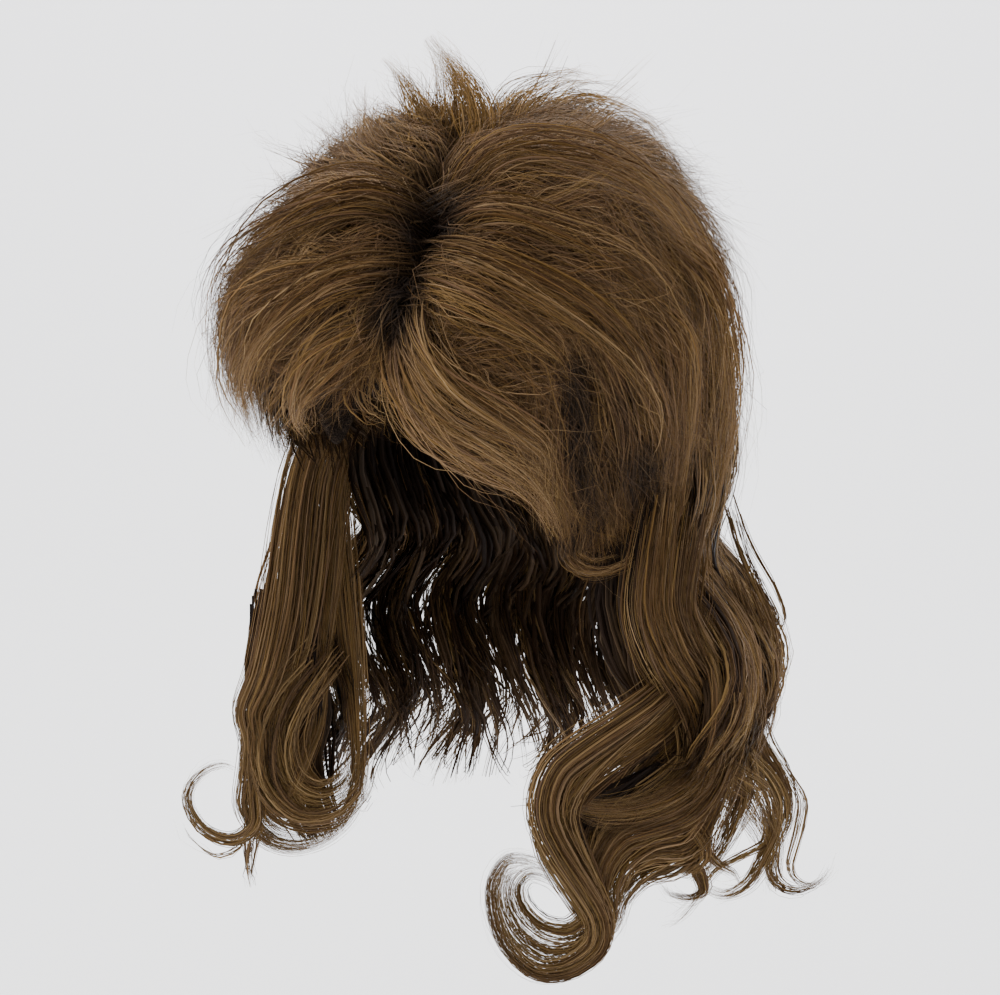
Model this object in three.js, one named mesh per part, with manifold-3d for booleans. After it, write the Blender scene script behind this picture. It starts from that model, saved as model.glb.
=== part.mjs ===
// Layered wig: a fitted cap, a parted front, an upright crown and long waved hair with curled ends.
// Millimetres, +Z up, the face looks along -Y. The origin is the inside of the cap at the top of the head.
// A turn is an angle round Z from the face toward the wearer's left. A slope is an angle down from the top.
import * as THREE from "three";
import { mergeVertices } from "three/addons/utils/BufferGeometryUtils.js";
import Module from "manifold-3d";

const wasm = await Module();
wasm.setup();

// Inside of the cap
const HEAD_HALF_WIDTH = 78;
const HEAD_HALF_LENGTH = 99.5;
const CROWN_HEIGHT = 92;
const NAPE_HEIGHT = 130;

// Cap, and the backing that each section of hair is knotted into
const CAP_WALL = 2;
const BACKING_WALL = 3;
const SEAT_GAP = 0.5;
const BACKING_GAP = 0.4;
const SECTION_GAP = 0.5;
const SEAT = CAP_WALL + SEAT_GAP;
const PARTING_WIDTH = 12;
const PARTING_WALL = 1.2;

// Hair
const ROOT_LIFT = 0.6;
const PUFF = 80;
const STAND = 60;
const FALL = 170;
const HANG_RADIUS = 130;
const WAVE_HEIGHT = 15;
const WAVE_LENGTH = 100;
const WAVE_TOP = 110;
const WAVE_RAMP = 60;
const CURL_RADIUS = 24;
const LOCK_WIDTH = 36;
const LOCK_THICKNESS = 20;

// Slope of the cap's edge at each turn, the same on both sides
const CAP_EDGE = [
  { turn: 0, slope: 60 },
  { turn: 35, slope: 70 },
  { turn: 62, slope: 86 },
  { turn: 78, slope: 104 },
  { turn: 94, slope: 96 },
  { turn: 112, slope: 100 },
  { turn: 140, slope: 114 },
  { turn: 180, slope: 122 },
];

// Backing of each section, in degrees
const BACKINGS = {
  crown_top: { turns: [-180, 180], slopes: [0, 14] },
  crown_back: { turns: [58, 302], slopes: [17, 40] },
  fringe_left: { turns: [9, 55], slopes: [17, 58] },
  fringe_right: { turns: [-55, -9], slopes: [17, 58] },
  side_left: { turns: [60, 112], slopes: [82, 92] },
  side_right: { turns: [-112, -60], slopes: [82, 92] },
  tail_left: { turns: [74, 179.4], slopes: [64, 78] },
  tail_right: { turns: [-179.4, -74], slopes: [64, 78] },
};

// Fans of locks. A pair runs from the first lock of the fan to the last, and one number holds for all.
// form is a curtain, where the locks of a fan lie side by side in one sheet, or locks that stand apart.
// from is the share of its length at which a lock comes out of the hair that it belongs to.
// root and end are turn and slope where a lock leaves the backing and where it leaves the head.
// puff, stand, fall, hang, wave, curl, width and thick are shares of the sizes above with those names.
// sway and swell are shares of the wave across and away from the head, lag is how far apart they crest.
// curl, bend, toward and tighten wind the end: its radius, how far and to which side, how it closes.
const COLUMNS = [
  "section", "form", "from", "count", "rings", "rootTurn", "rootSlope", "endTurn", "endSlope",
  "puff", "stand", "fall", "hangTurn", "hang", "wave", "sway", "swell", "length", "lag",
  "curl", "bend", "toward", "tighten", "width", "thick",
];
const FANS = [
  ["fringe_left", "curtain", 0, 6, 8, [13, 40], [60, 22], [46, 84], [86, 76],
    [0.6, 1.35], [0.25, 0.6], 0, 0, 0, 0, 0, 0, 1, 0,
    0.7, [60, 50], [100, 160], 0.3, 1, 0.9],
  ["fringe_right", "curtain", 0, 6, 8, [-13, -40], [60, 22], [-34, -84], [84, 76],
    [1.1, 1.45], [0.5, 0.6], 0, 0, 0, 0, 0, 0, 1, 0,
    0.75, [90, 50], [20, -150], 0.3, 1, 0.9],
  ["side_left", "curtain", 0, 4, 6, [64, 108], [86, 86], [68, 100], [114, 118],
    [0.3, 0.3], [0.15, 0.25], 0, 0, 0, 0, 0, 0, 1, 0,
    0.5, 80, -50, 0.3, 0.7, 0.6],
  ["side_right", "curtain", 0, 4, 6, [-64, -108], [86, 86], [-66, -100], [114, 118],
    [0.3, 0.3], [0.15, 0.25], 0, 0, 0, 0, 0, 0, 1, 0,
    0.5, 60, 0, 0.3, 0.7, 0.6],
  ["crown_top", "curtain", 0, 9, 6, [24, 336], [9, 9], [42, 318], [46, 46],
    [1.35, 1.35], [0.74, 0.74], 0, 0, 0, 0, 0, 0, 1, 0,
    0.6, 30, [42, 318], 0.3, 0.9, 0.75],
  ["crown_top", "locks", 0, 4, 4, [-130, 10], [6, 6], [-110, 0], [14, 10],
    [0.3, 0.2], [0.85, 1.05], 0, 0, 0, 0, 0, 0, 1, 0,
    0, 0, 0, 0, 0.7, 0.6],
  ["crown_top", "locks", 0, 3, 5, [70, 160], [6, 6], [84, 140], [26, 30],
    [0.5, 0.5], [1, 0.9], 0, 0, 0, 0, 0, 0, 1, 0,
    1, 60, 130, 0.3, 0.6, 0.5],
  ["crown_back", "curtain", 0, 10, 6, [64, 296], [33, 33], [72, 288], [68, 68],
    [0.9, 0.9], [0.52, 0.52], 0, 0, 0, 0, 0, 0, 1, 0,
    0.8, 40, [72, 288], 0.3, 1, 1],
  ["tail_left", "curtain", 0, 6, 11, [102, 174], [72, 70], [100, 173], [108, 108],
    [0.5, 0.5], [0.38, 0.38], [0.92, 0.86], [98, 172], [0.98, 1.02], 1, 0.8, 1, 1, 1.25,
    1.2, [70, 90], [98, 172], 0.5, 1, 0.9],
  ["tail_left", "locks", 0.6, 5, 7, [104, 168], [84, 84], [102, 166], [108, 108],
    [0.3, 0.3], [0.34, 0.34], [0.98, 0.9], [96, 166], [1, 1.06], 1, 0.8, 1, 1, 1.25,
    [1.3, 1], [190, 210], [-50, 170], 0.5, 0.8, 0.8],
  ["tail_left", "locks", 0.35, 1, 12, 96, 76, 104, 110,
    0.28, 0.26, 1.08, 88, 0.78, 1, 0.8, 0.5, 1, 1.25,
    1.3, 230, -50, 0.25, 1, 0.9],
  ["tail_left", "locks", 0.35, 1, 14, 90, 76, 100, 110,
    0.28, 0.26, 0.94, 90, 0.84, 1, 0.8, 0.5, 1, 1.25,
    1.05, 400, -50, 0.35, 0.85, 0.8],
  ["tail_left", "locks", 0.3, 1, 11, 84, 76, 98, 112,
    0.26, 0.22, 1.14, 80, 0.72, 1.6, 0.64, -0.77, 1.9, -1.4,
    0.85, 150, -50, 0.35, 0.75, 0.7],
  ["tail_left", "locks", 0.55, 1, 10, 130, 76, 130, 108,
    0.3, 0.36, 1.16, 122, 1.12, 1, 0.5, 1, 1, 1.25,
    0.9, 200, -10, 0.3, 0.85, 0.8],
  ["tail_right", "curtain", 0, 6, 11, [-102, -174], [72, 70], [-100, -173], [108, 108],
    [0.5, 0.5], [0.38, 0.38], [0.92, 0.86], [-98, -172], [0.98, 1.02], 1, -0.8, 1, 1, 1.25,
    1.2, [70, 90], [-98, -172], 0.5, 1, 0.9],
  ["tail_right", "locks", 0.6, 5, 7, [-104, -168], [84, 84], [-102, -166], [108, 108],
    [0.3, 0.3], [0.34, 0.34], [0.98, 0.9], [-94, -166], [0.94, 1.06], 1, -0.8, 1, 1, 1.25,
    [1.3, 1], [210, 210], [-20, -170], 0.5, 0.8, 0.8],
  ["tail_right", "locks", 0.35, 1, 12, -96, 76, -102, 110,
    0.28, 0.28, 1.06, -76, 0.9, 1, -0.8, 0.8, 1, 1.25,
    1.1, 300, 130, 0.25, 0.95, 0.9],
  ["tail_right", "locks", 0.35, 1, 11, -90, 76, -100, 110,
    0.28, 0.28, 1.08, -74, 0.92, 1, -0.8, 0.6, 1, 1.25,
    0.75, 230, -50, 0.25, 0.75, 0.7],
  ["tail_right", "locks", 0.35, 1, 11, -84, 76, -98, 112,
    0.26, 0.22, 1.2, -72, 0.84, 1, -0.8, 0.5, 1, 1.25,
    0.75, 240, 130, 0.25, 0.65, 0.6],
];

// Girth of a lock along its length, as a share of its full width
const GIRTH = { root: 0.6, fullFrom: 0.3, thinFrom: 0.6, tip: 0.16 };
// Between two locks of a curtain, the share of their thickness and of their length
const VALLEY = { thick: 0.45, reach: 0.9 };
const LOCK_SIDES = 5;
const CAP_COLUMNS = 36;
const CAP_ROWS = 5;
const CROWN_COLUMNS = 12;
const CROWN_ROWS = 1;
const BACKING_STEP = 9;
const LINE_STEP = 4;
const HEAD_BASE_SLOPE = 135;
const HUG_STEPS = 4;
const FALL_STEPS = 4;
const MERGE = 0.002;
// How much a bend draws the stations of a lock together, and where down a lock its flat side turns
const BEND_WEIGHT = 1.6;
const WIND = { hangingFrom: 0.45, shortFrom: 0.7, over: 0.3, rate: 0.5 };

const COLOURS = {
  cap: 0x2a211c,
  parting: 0x241a15,
  front: 0x6b4a2d,
  crown: 0x74522f,
  side: 0x5d4027,
  tail: 0x67472b,
};

const radians = THREE.MathUtils.degToRad;
const mix = THREE.MathUtils.lerp;
const clamp01 = (x) => Math.min(1, Math.max(0, x));

// A point on the head at a turn and a slope, moved out along the surface normal
function headPoint(turn, slope, out) {
  const t = radians(turn);
  const s = radians(slope);
  const height = slope < 90 ? CROWN_HEIGHT : NAPE_HEIGHT;
  const p = new THREE.Vector3(
    HEAD_HALF_WIDTH * Math.sin(s) * Math.sin(t),
    -HEAD_HALF_LENGTH * Math.sin(s) * Math.cos(t),
    height * Math.cos(s),
  );
  const n = new THREE.Vector3(p.x / HEAD_HALF_WIDTH ** 2, p.y / HEAD_HALF_LENGTH ** 2, p.z / height ** 2);
  n.normalize();
  return p.addScaledVector(n, out).add(new THREE.Vector3(0, 0, -CROWN_HEIGHT));
}

function headNormal(turn, slope) {
  return headPoint(turn, slope, 1).sub(headPoint(turn, slope, 0)).normalize();
}

function heading(turn) {
  return new THREE.Vector3(Math.sin(radians(turn)), -Math.cos(radians(turn)), 0);
}

// Value of a short table at a turn, mirrored left to right
function edgeSlope(turn) {
  const t = Math.abs(THREE.MathUtils.euclideanModulo(turn + 180, 360) - 180);
  const i = CAP_EDGE.findIndex((row) => row.turn >= t);
  if (i <= 0) return CAP_EDGE[0].slope;
  const a = CAP_EDGE[i - 1];
  const b = CAP_EDGE[i];
  return mix(a.slope, b.slope, THREE.MathUtils.smoothstep(t, a.turn, b.turn));
}

// Closed solid from rings of points, each end closed by a fan to its own point
function loft(rings, first, last) {
  const n = rings[0].length;
  const points = rings.flat().concat([first, last]);
  const faces = [];
  for (let r = 0; r + 1 < rings.length; r++) {
    for (let i = 0; i < n; i++) {
      const a = r * n + i;
      const b = r * n + ((i + 1) % n);
      faces.push(a, b, b + n, a, b + n, a + n);
    }
  }
  const top = rings.length * n;
  const base = (rings.length - 1) * n;
  for (let i = 0; i < n; i++) {
    faces.push(top, (i + 1) % n, i);
    faces.push(top + 1, base + i, base + ((i + 1) % n));
  }
  return solid(points, faces);
}

function solid(points, faces) {
  const made = new wasm.Manifold(
    new wasm.Mesh({
      numProp: 3,
      vertProperties: new Float32Array(points.flatMap((p) => [p.x, p.y, p.z])),
      triVerts: new Uint32Array(faces),
    }),
  );
  if (made.volume() > 0) return made;
  const turned = [];
  for (let i = 0; i < faces.length; i += 3) turned.push(faces[i], faces[i + 2], faces[i + 1]);
  return solid(points, turned);
}

// Dome between two heights over the head, down to a slope for each turn
function dome(slopeAt, inner, outer, columns, rows) {
  const ring = (share, out) =>
    Array.from({ length: columns }, (_, i) => {
      const turn = (i * 360) / columns;
      return headPoint(turn, slopeAt(turn) * share, out);
    });
  const rings = [];
  for (let i = 1; i <= rows; i++) rings.push(ring(i / rows, outer));
  for (let i = rows; i >= 1; i--) rings.push(ring(i / rows, inner));
  return loft(rings, headPoint(0, 0, outer), headPoint(0, 0, inner));
}

// Everything inside a height over the head, used to cut the hair clear of the cap
function headVolume(out) {
  const rings = [];
  for (let slope = BACKING_STEP; slope <= HEAD_BASE_SLOPE; slope += BACKING_STEP) {
    rings.push(
      Array.from({ length: CAP_COLUMNS }, (_, i) => headPoint((i * 360) / CAP_COLUMNS, slope, out)),
    );
  }
  return loft(rings, headPoint(0, 0, out), new THREE.Vector3(0, 0, -CROWN_HEIGHT - NAPE_HEIGHT));
}

// Closed solid between two grids of points, the outer one and the inner one
function shell(outer, inner) {
  const points = outer.flat().concat(inner.flat());
  const row = outer[0].length;
  const down = outer.length - 1;
  const across = row - 1;
  const under = row * outer.length;
  const faces = [];
  const quad = (a, b, c, d) => faces.push(a, b, c, a, c, d);
  for (let j = 0; j < down; j++) {
    for (let i = 0; i < across; i++) {
      const a = j * row + i;
      quad(a, a + 1, a + row + 1, a + row);
      quad(under + a, under + a + row, under + a + row + 1, under + a + 1);
    }
  }
  for (let i = 0; i < across; i++) {
    const b = down * row + i;
    quad(i, under + i, under + i + 1, i + 1);
    quad(b, b + 1, under + b + 1, under + b);
  }
  for (let j = 0; j < down; j++) {
    const l = j * row;
    const r = l + across;
    quad(l, l + row, under + l + row, under + l);
    quad(r, under + r, under + r + row, r + row);
  }
  return solid(points, faces);
}

// Curved slab over the head between two turns and two slopes
function slab(turns, slopes, inner, outer, grow) {
  const across = Math.max(2, Math.round((turns[1] - turns[0]) / BACKING_STEP));
  const down = Math.max(1, Math.round((slopes[1] - slopes[0]) / BACKING_STEP));
  const spread = THREE.MathUtils.radToDeg(grow / HEAD_HALF_WIDTH);
  const side = spread / Math.sin(radians(slopes[0]));
  const grid = (out) =>
    Array.from({ length: down + 1 }, (_, j) =>
      Array.from({ length: across + 1 }, (_, i) => {
        const turn = mix(turns[0] - side, turns[1] + side, i / across);
        return headPoint(turn, mix(slopes[0] - spread, slopes[1] + spread, j / down), out);
      }),
    );
  return shell(grid(outer), grid(inner));
}

// Centre line of a lock: over the head, then hanging in waves, then wound into its end curl
function lockLine(k) {
  const points = [];
  const root = SEAT + ROOT_LIFT + (k.thick * LOCK_THICKNESS * GIRTH.root) / 2;
  for (let i = 0; i <= HUG_STEPS; i++) {
    const t = i / HUG_STEPS;
    const out = root * (1 - t) + k.stand * STAND * t * t + k.puff * PUFF * t * (1 - t);
    points.push(headPoint(mix(k.rootTurn, k.endTurn, t), mix(k.rootSlope, k.endSlope, t), out));
  }
  if (k.fall > 0) {
    const from = points[HUG_STEPS].clone();
    const to = heading(k.hangTurn).multiplyScalar(k.hang * HANG_RADIUS);
    for (let i = 1; i <= FALL_STEPS; i++) {
      const t = i / FALL_STEPS;
      const s = (t + THREE.MathUtils.smoothstep(t, 0, 1)) / 2;
      points.push(
        new THREE.Vector3(mix(from.x, to.x, s), mix(from.y, to.y, s), from.z - k.fall * FALL * t),
      );
    }
  }
  const curve = new THREE.CatmullRomCurve3(points, false, "centripetal");
  const steps = Math.ceil(curve.getLength() / LINE_STEP);
  let line = curve.getSpacedPoints(steps);
  if (k.wave > 0) line = waved(line, k);
  if (k.bend > 0) line = line.concat(curl(line, k));
  return line;
}

function waved(line, k) {
  return line.map((p, i) => {
    const along = line[Math.min(i + 1, line.length - 1)].clone().sub(line[Math.max(i - 1, 0)]);
    const away = new THREE.Vector3(p.x, p.y, 0).normalize();
    const across = new THREE.Vector3().crossVectors(along, away).normalize();
    const down = -WAVE_TOP - p.z;
    const size = k.wave * WAVE_HEIGHT * clamp01(down / WAVE_RAMP);
    const angle = (2 * Math.PI * down) / (k.length * WAVE_LENGTH);
    return p
      .clone()
      .addScaledVector(across, size * k.sway * Math.sin(angle))
      .addScaledVector(away, size * k.swell * Math.sin(angle + k.lag));
  });
}

function curlAxis(line, k) {
  const along = line.at(-1).clone().sub(line.at(-2)).normalize();
  return new THREE.Vector3().crossVectors(along, heading(k.toward)).normalize();
}

function curl(line, k) {
  const axis = curlAxis(line, k);
  const along = line.at(-1).clone().sub(line.at(-2)).normalize();
  const radius = k.curl * CURL_RADIUS;
  const steps = Math.max(3, Math.round((radians(k.bend) * radius) / LINE_STEP));
  const step = radians(k.bend) / steps;
  const at = line.at(-1).clone();
  return Array.from({ length: steps }, (_, i) => {
    along.applyAxisAngle(axis, step);
    const r = radius * (1 - (k.tighten * (i + 0.5)) / steps);
    return at.addScaledVector(along, r * step).clone();
  });
}

// Points along a line from one share of it on, closer together where it bends
function sections(line, from, count) {
  const weight = [0];
  for (let i = 1; i < line.length; i++) {
    const a = line[i].clone().sub(line[i - 1]);
    const b = i + 1 < line.length ? line[i + 1].clone().sub(line[i]) : a;
    weight.push(weight[i - 1] + a.length() / LOCK_WIDTH + BEND_WEIGHT * a.angleTo(b));
  }
  const start = weight[Math.round(from * (line.length - 1))];
  const picked = [];
  for (let j = 0; j < count; j++) {
    const want = mix(start, weight.at(-1), j / (count - 1));
    let i = weight.findIndex((w) => w >= want - 1e-9);
    if (i < 1) i = 1;
    const t = clamp01((want - weight[i - 1]) / (weight[i] - weight[i - 1]));
    picked.push(i - 1 + t);
  }
  return picked;
}

function pointOn(line, at) {
  const i = Math.min(Math.floor(at), line.length - 2);
  return line[i].clone().lerp(line[i + 1], at - i);
}

// Stations along a lock: place, direction, the way its flat side faces, and its girth
function stations(k, at, reach = 1) {
  const line = lockLine(k);
  const end = line.length - 1;
  const picked = at ? at.map((share) => share * reach * end) : sections(line, k.from, k.rings);
  const points = picked.map((i) => pointOn(line, i));
  const flat = headNormal(k.rootTurn, k.rootSlope);
  const windFrom = k.fall > 0 ? WIND.hangingFrom : WIND.shortFrom;
  const axis = k.bend > 0 ? curlAxis(lockLine({ ...k, bend: 0 }), k) : null;
  return points.map((p, i) => {
    const along = points[Math.min(i + 1, points.length - 1)]
      .clone()
      .sub(points[Math.max(i - 1, 0)])
      .normalize();
    flat.addScaledVector(along, -flat.dot(along)).normalize();
    if (axis) {
      const round = new THREE.Vector3().crossVectors(axis, along).normalize();
      if (round.dot(flat) < 0) round.negate();
      const share = clamp01((i / (points.length - 1) - windFrom) / WIND.over) * WIND.rate;
      flat.lerp(round, share).addScaledVector(along, -flat.dot(along)).normalize();
    }
    const across = new THREE.Vector3().crossVectors(along, flat);
    const s = picked[i] / end;
    const swell = mix(GIRTH.root, 1, clamp01((s - k.from) / GIRTH.fullFrom));
    const thin = THREE.MathUtils.smoothstep(s, GIRTH.thinFrom, 1);
    return { p, along, across, flat: flat.clone(), girth: swell * mix(1, GIRTH.tip, thin) };
  });
}

// One lock: an oval section swept along its line, its flat side to the head and then round its curl
function lock(k, grow) {
  const found = stations(k);
  const rings = found.map((f, i) => {
    const halfWidth = (k.width * LOCK_WIDTH * f.girth) / 2 + grow;
    const halfThick = (k.thick * LOCK_THICKNESS * f.girth) / 2 + grow;
    const end = i === 0 ? -grow : i === found.length - 1 ? grow : 0;
    return Array.from({ length: LOCK_SIDES }, (_, j) => {
      const angle = (2 * Math.PI * j) / LOCK_SIDES;
      return f.p
        .clone()
        .addScaledVector(f.along, end)
        .addScaledVector(f.across, halfWidth * Math.cos(angle))
        .addScaledVector(f.flat, halfThick * Math.sin(angle));
    });
  });
  const middle = (ring) => ring.reduce((a, q) => a.add(q), new THREE.Vector3()).divideScalar(ring.length);
  return loft(rings, middle(rings[0]), middle(rings.at(-1)));
}

// A curtain: the locks of a fan side by side in one sheet, thick at each lock and thin between two
function curtain(fan, grow) {
  const rows = fan[0].rings;
  const shares = Array.from({ length: rows }, (_, i) => i / (rows - 1));
  const columns = [];
  fan.forEach((k, i) => {
    columns.push({ found: stations(k, shares), thick: 1 });
    if (i + 1 === fan.length) return;
    const between = {};
    for (const [name, value] of Object.entries(k)) {
      between[name] = typeof value === "number" ? (value + fan[i + 1][name]) / 2 : value;
    }
    columns.push({ found: stations(between, shares, VALLEY.reach), thick: VALLEY.thick });
  });
  const hem = (column, k, side) => ({
    found: column.found.map((f) => ({
      ...f,
      p: f.p.clone().addScaledVector(f.across, side * ((k.width * LOCK_WIDTH * f.girth) / 2 + grow)),
    })),
    thick: VALLEY.thick,
  });
  const first = columns[0].found[1];
  const toNext = columns[1].found[1].p.clone().sub(first.p).dot(first.across) > 0 ? 1 : -1;
  columns.unshift(hem(columns[0], fan[0], -toNext));
  columns.push(hem(columns.at(-1), fan.at(-1), toNext));
  const grid = (side) =>
    shares.map((_, j) =>
      columns.map(({ found, thick }) => {
        const f = found[j];
        const half = (fan[0].thick * LOCK_THICKNESS * f.girth * thick) / 2 + grow;
        const end = j === 0 ? -grow : j === rows - 1 ? grow : 0;
        return f.p.clone().addScaledVector(f.flat, side * half).addScaledVector(f.along, end);
      }),
    );
  return shell(grid(1), grid(-1));
}

// The fans of a section, each as its locks from first to last
function fansOf(section) {
  const fans = [];
  for (const row of FANS) {
    const named = Object.fromEntries(COLUMNS.map((name, i) => [name, row[i]]));
    if (named.section !== section) continue;
    fans.push(
      Array.from({ length: named.count }, (_, i) => {
        const t = named.count > 1 ? i / (named.count - 1) : 0;
        return Object.fromEntries(
          Object.entries(named).map(([name, v]) => [name, Array.isArray(v) ? mix(v[0], v[1], t) : v]),
        );
      }),
    );
  }
  return fans;
}

const headSeat = headVolume(SEAT);

// A section of hair: its backing with all of its locks fused to it
function section(name, grow) {
  const { turns, slopes } = BACKINGS[name];
  const inner = SEAT + BACKING_GAP;
  const outer = SEAT + BACKING_WALL + grow;
  let made =
    slopes[0] > 0
      ? slab(turns, slopes, inner, outer, grow)
      : dome(() => slopes[1], inner, outer, CROWN_COLUMNS, CROWN_ROWS);
  for (const fan of fansOf(name)) {
    const parts = fan[0].form === "curtain" ? [curtain(fan, grow)] : fan.map((k) => lock(k, grow));
    for (const part of parts) made = made.add(part);
  }
  return made.subtract(headSeat);
}

// The main body of a cut solid, without the slivers that a cut leaves and with its close points merged
function mainBody(made) {
  const main = made.decompose().sort((a, b) => b.volume() - a.volume())[0];
  const position = toGeometry(main).getAttribute("position");
  const merged = mergeVertices(new THREE.BufferGeometry().setAttribute("position", position), MERGE);
  const remade = new wasm.Manifold(
    new wasm.Mesh({
      numProp: 3,
      vertProperties: merged.getAttribute("position").array,
      triVerts: new Uint32Array(merged.index.array),
    }),
  );
  return remade.decompose().sort((a, b) => b.volume() - a.volume())[0];
}

function toGeometry(made) {
  const mesh = made.getMesh();
  const geometry = new THREE.BufferGeometry();
  geometry.setAttribute("position", new THREE.BufferAttribute(new Float32Array(mesh.vertProperties), 3));
  geometry.setIndex(new THREE.BufferAttribute(new Uint32Array(mesh.triVerts), 1));
  const open = geometry.toNonIndexed();
  open.computeVertexNormals();
  return open;
}

const wig = new THREE.Group();

function place(name, made, colour) {
  const material = new THREE.MeshStandardMaterial({ color: colour, roughness: 0.55, metalness: 0 });
  const mesh = new THREE.Mesh(toGeometry(made), material);
  mesh.name = name;
  wig.add(mesh);
}

place("cap", dome(edgeSlope, 0, CAP_WALL, CAP_COLUMNS, CAP_ROWS), COLOURS.cap);

// The strip of scalp that shows along the parting
function partingStrip(grow) {
  const half = THREE.MathUtils.radToDeg(PARTING_WIDTH / 2 / HEAD_HALF_WIDTH);
  const { slopes } = BACKINGS.fringe_left;
  const narrow = half / Math.sin(radians((slopes[0] + slopes[1]) / 2));
  const inner = SEAT + BACKING_GAP;
  return slab([-narrow, narrow], slopes, inner, inner + PARTING_WALL + grow, grow);
}
place("parting_strip", partingStrip(0), COLOURS.parting);

// The half of space on one side of the middle, where the long hair parts at the nape
function halfSpace(side) {
  const far = HANG_RADIUS + PUFF + FALL;
  const row = (x, z) => [new THREE.Vector3(x, -far, z), new THREE.Vector3(x, far, z)];
  const near = (side * SECTION_GAP) / 2;
  return shell([row(near, far), row(near, -2 * far)], [row(side * far, far), row(side * far, -2 * far)]);
}

// Inner sections keep their full form, and each later one is cut clear of those before it
const ORDER = [
  ["tail_left", COLOURS.tail],
  ["tail_right", COLOURS.tail],
  ["side_left", COLOURS.side],
  ["side_right", COLOURS.side],
  ["crown_back", COLOURS.crown],
  ["fringe_left", COLOURS.front],
  ["fringe_right", COLOURS.front],
  ["crown_top", COLOURS.crown],
];
const before = [partingStrip(SECTION_GAP)];
for (const [name, colour] of ORDER) {
  let made = section(name, 0);
  if (name === "tail_left") made = made.intersect(halfSpace(1));
  if (name === "tail_right") made = made.intersect(halfSpace(-1));
  else for (const other of before) made = made.subtract(other);
  made = mainBody(made);
  place(name, made, colour);
  before.push(made, section(name, SECTION_GAP));
}

export default wig;
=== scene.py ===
# Layered wig on its cap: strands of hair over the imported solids, in metres, +Z up, the face looks along -Y.
import math

import bpy
import numpy as np
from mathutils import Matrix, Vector


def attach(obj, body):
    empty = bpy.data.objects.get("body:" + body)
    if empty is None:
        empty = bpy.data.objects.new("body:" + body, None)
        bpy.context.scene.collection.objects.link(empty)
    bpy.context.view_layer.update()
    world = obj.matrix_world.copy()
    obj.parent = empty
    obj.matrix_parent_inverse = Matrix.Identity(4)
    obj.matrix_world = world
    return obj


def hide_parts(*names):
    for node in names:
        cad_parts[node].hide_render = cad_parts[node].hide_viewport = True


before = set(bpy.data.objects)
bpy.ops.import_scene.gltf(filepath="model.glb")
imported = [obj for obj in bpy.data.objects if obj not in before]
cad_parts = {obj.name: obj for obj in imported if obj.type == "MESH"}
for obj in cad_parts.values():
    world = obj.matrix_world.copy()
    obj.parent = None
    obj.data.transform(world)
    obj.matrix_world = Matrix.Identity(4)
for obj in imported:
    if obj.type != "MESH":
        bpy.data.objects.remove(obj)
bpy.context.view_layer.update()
MM = 0.001

# Inside of the cap, in millimetres, as the solids have it
HEAD_HALF_WIDTH = 78.0
HEAD_HALF_LENGTH = 99.5
CROWN_HEIGHT = 92.0
NAPE_HEIGHT = 130.0
CAP_WALL = 2.0

# Hair, in millimetres, as the solids have it
PUFF = 80.0
STAND = 60.0
FALL = 170.0
HANG_RADIUS = 130.0
WAVE_HEIGHT = 15.0
WAVE_LENGTH = 100.0
WAVE_TOP = 110.0
WAVE_RAMP = 60.0
CURL_RADIUS = 24.0
LOCK_WIDTH = 36.0
LOCK_THICKNESS = 20.0
ROOT_OUT = 4.0

# Camera: where the photograph was taken from
CAMERA_TURN = 40.0
CAMERA_RISE = 15.0
CAMERA_DISTANCE = 1500.0
VIEW_WIDTH = 454.5
FRAME = (1000, 995)
VERTEX_PIXEL = (485.0, 198.0)

# Slope of the cap's edge at each turn, the same on both sides, as the solids have it
CAP_EDGE = [(0, 60), (35, 70), (62, 86), (78, 104), (94, 96), (112, 100), (140, 114), (180, 122)]

# Paths that the short hair is combed along, from one turn and slope to the next
COMB_PATHS = [
    [(28, 35), (48, 32), (70, 35), (90, 44)], [(30, 40), (48, 44), (64, 50), (78, 60), (88, 74)],
    [(90, 44), (100, 58), (104, 72), (106, 92)], [(26, 47), (40, 54), (52, 59), (66, 66), (80, 76)],
    [(24, 59), (36, 64), (48, 68), (60, 73)], [(24, 66), (34, 72), (46, 77), (58, 82)],
    [(60, 72), (66, 80), (70, 92), (74, 104), (84, 114)],
    [(23, 70), (27, 77), (34, 84), (44, 89), (54, 94), (62, 101), (68, 109)],
    [(70, 72), (78, 82), (80, 94), (86, 108)], [(80, 76), (84, 88), (90, 104)],
    [(90, 76), (96, 90), (102, 104)], [(28, 24), (58, 22), (92, 23), (112, 30)], [(110, 40), (118, 60)],
    [(117, 76), (118, 100)], [(150, 20), (152, 45)], [(150, 50), (152, 80)], [(180, 60), (180, 90)],
    [(20, 30), (0, 34), (-24, 44), (-46, 58)], [(-46, 60), (-58, 74)],
    [(16, 42), (0, 50), (-12, 58), (-26, 70), (-38, 84)],
    [(14, 52), (2, 58), (-10, 66), (-22, 78), (-32, 90)], [(12, 59), (5, 67), (-1, 75), (-10, 84)],
    [(18, 62), (12, 72), (6, 82)], [(20, 66), (18, 78)], [(-30, 88), (-44, 97)], [(-48, 80), (-54, 94)],
    [(-62, 84), (-68, 100)], [(-66, 60), (-76, 84)], [(-66, 88), (-66, 108)], [(-80, 28), (-98, 48)],
    [(-58, 26), (-84, 34)], [(-100, 60), (-104, 84)], [(-116, 76), (-117, 100)], [(-150, 20), (-152, 45)],
    [(-150, 50), (-152, 80)], [(8, 22), (-22, 24), (-54, 30)],
]
COMB = [(*start, *end) for path in COMB_PATHS for start, end in zip(path, path[1:])]

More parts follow.
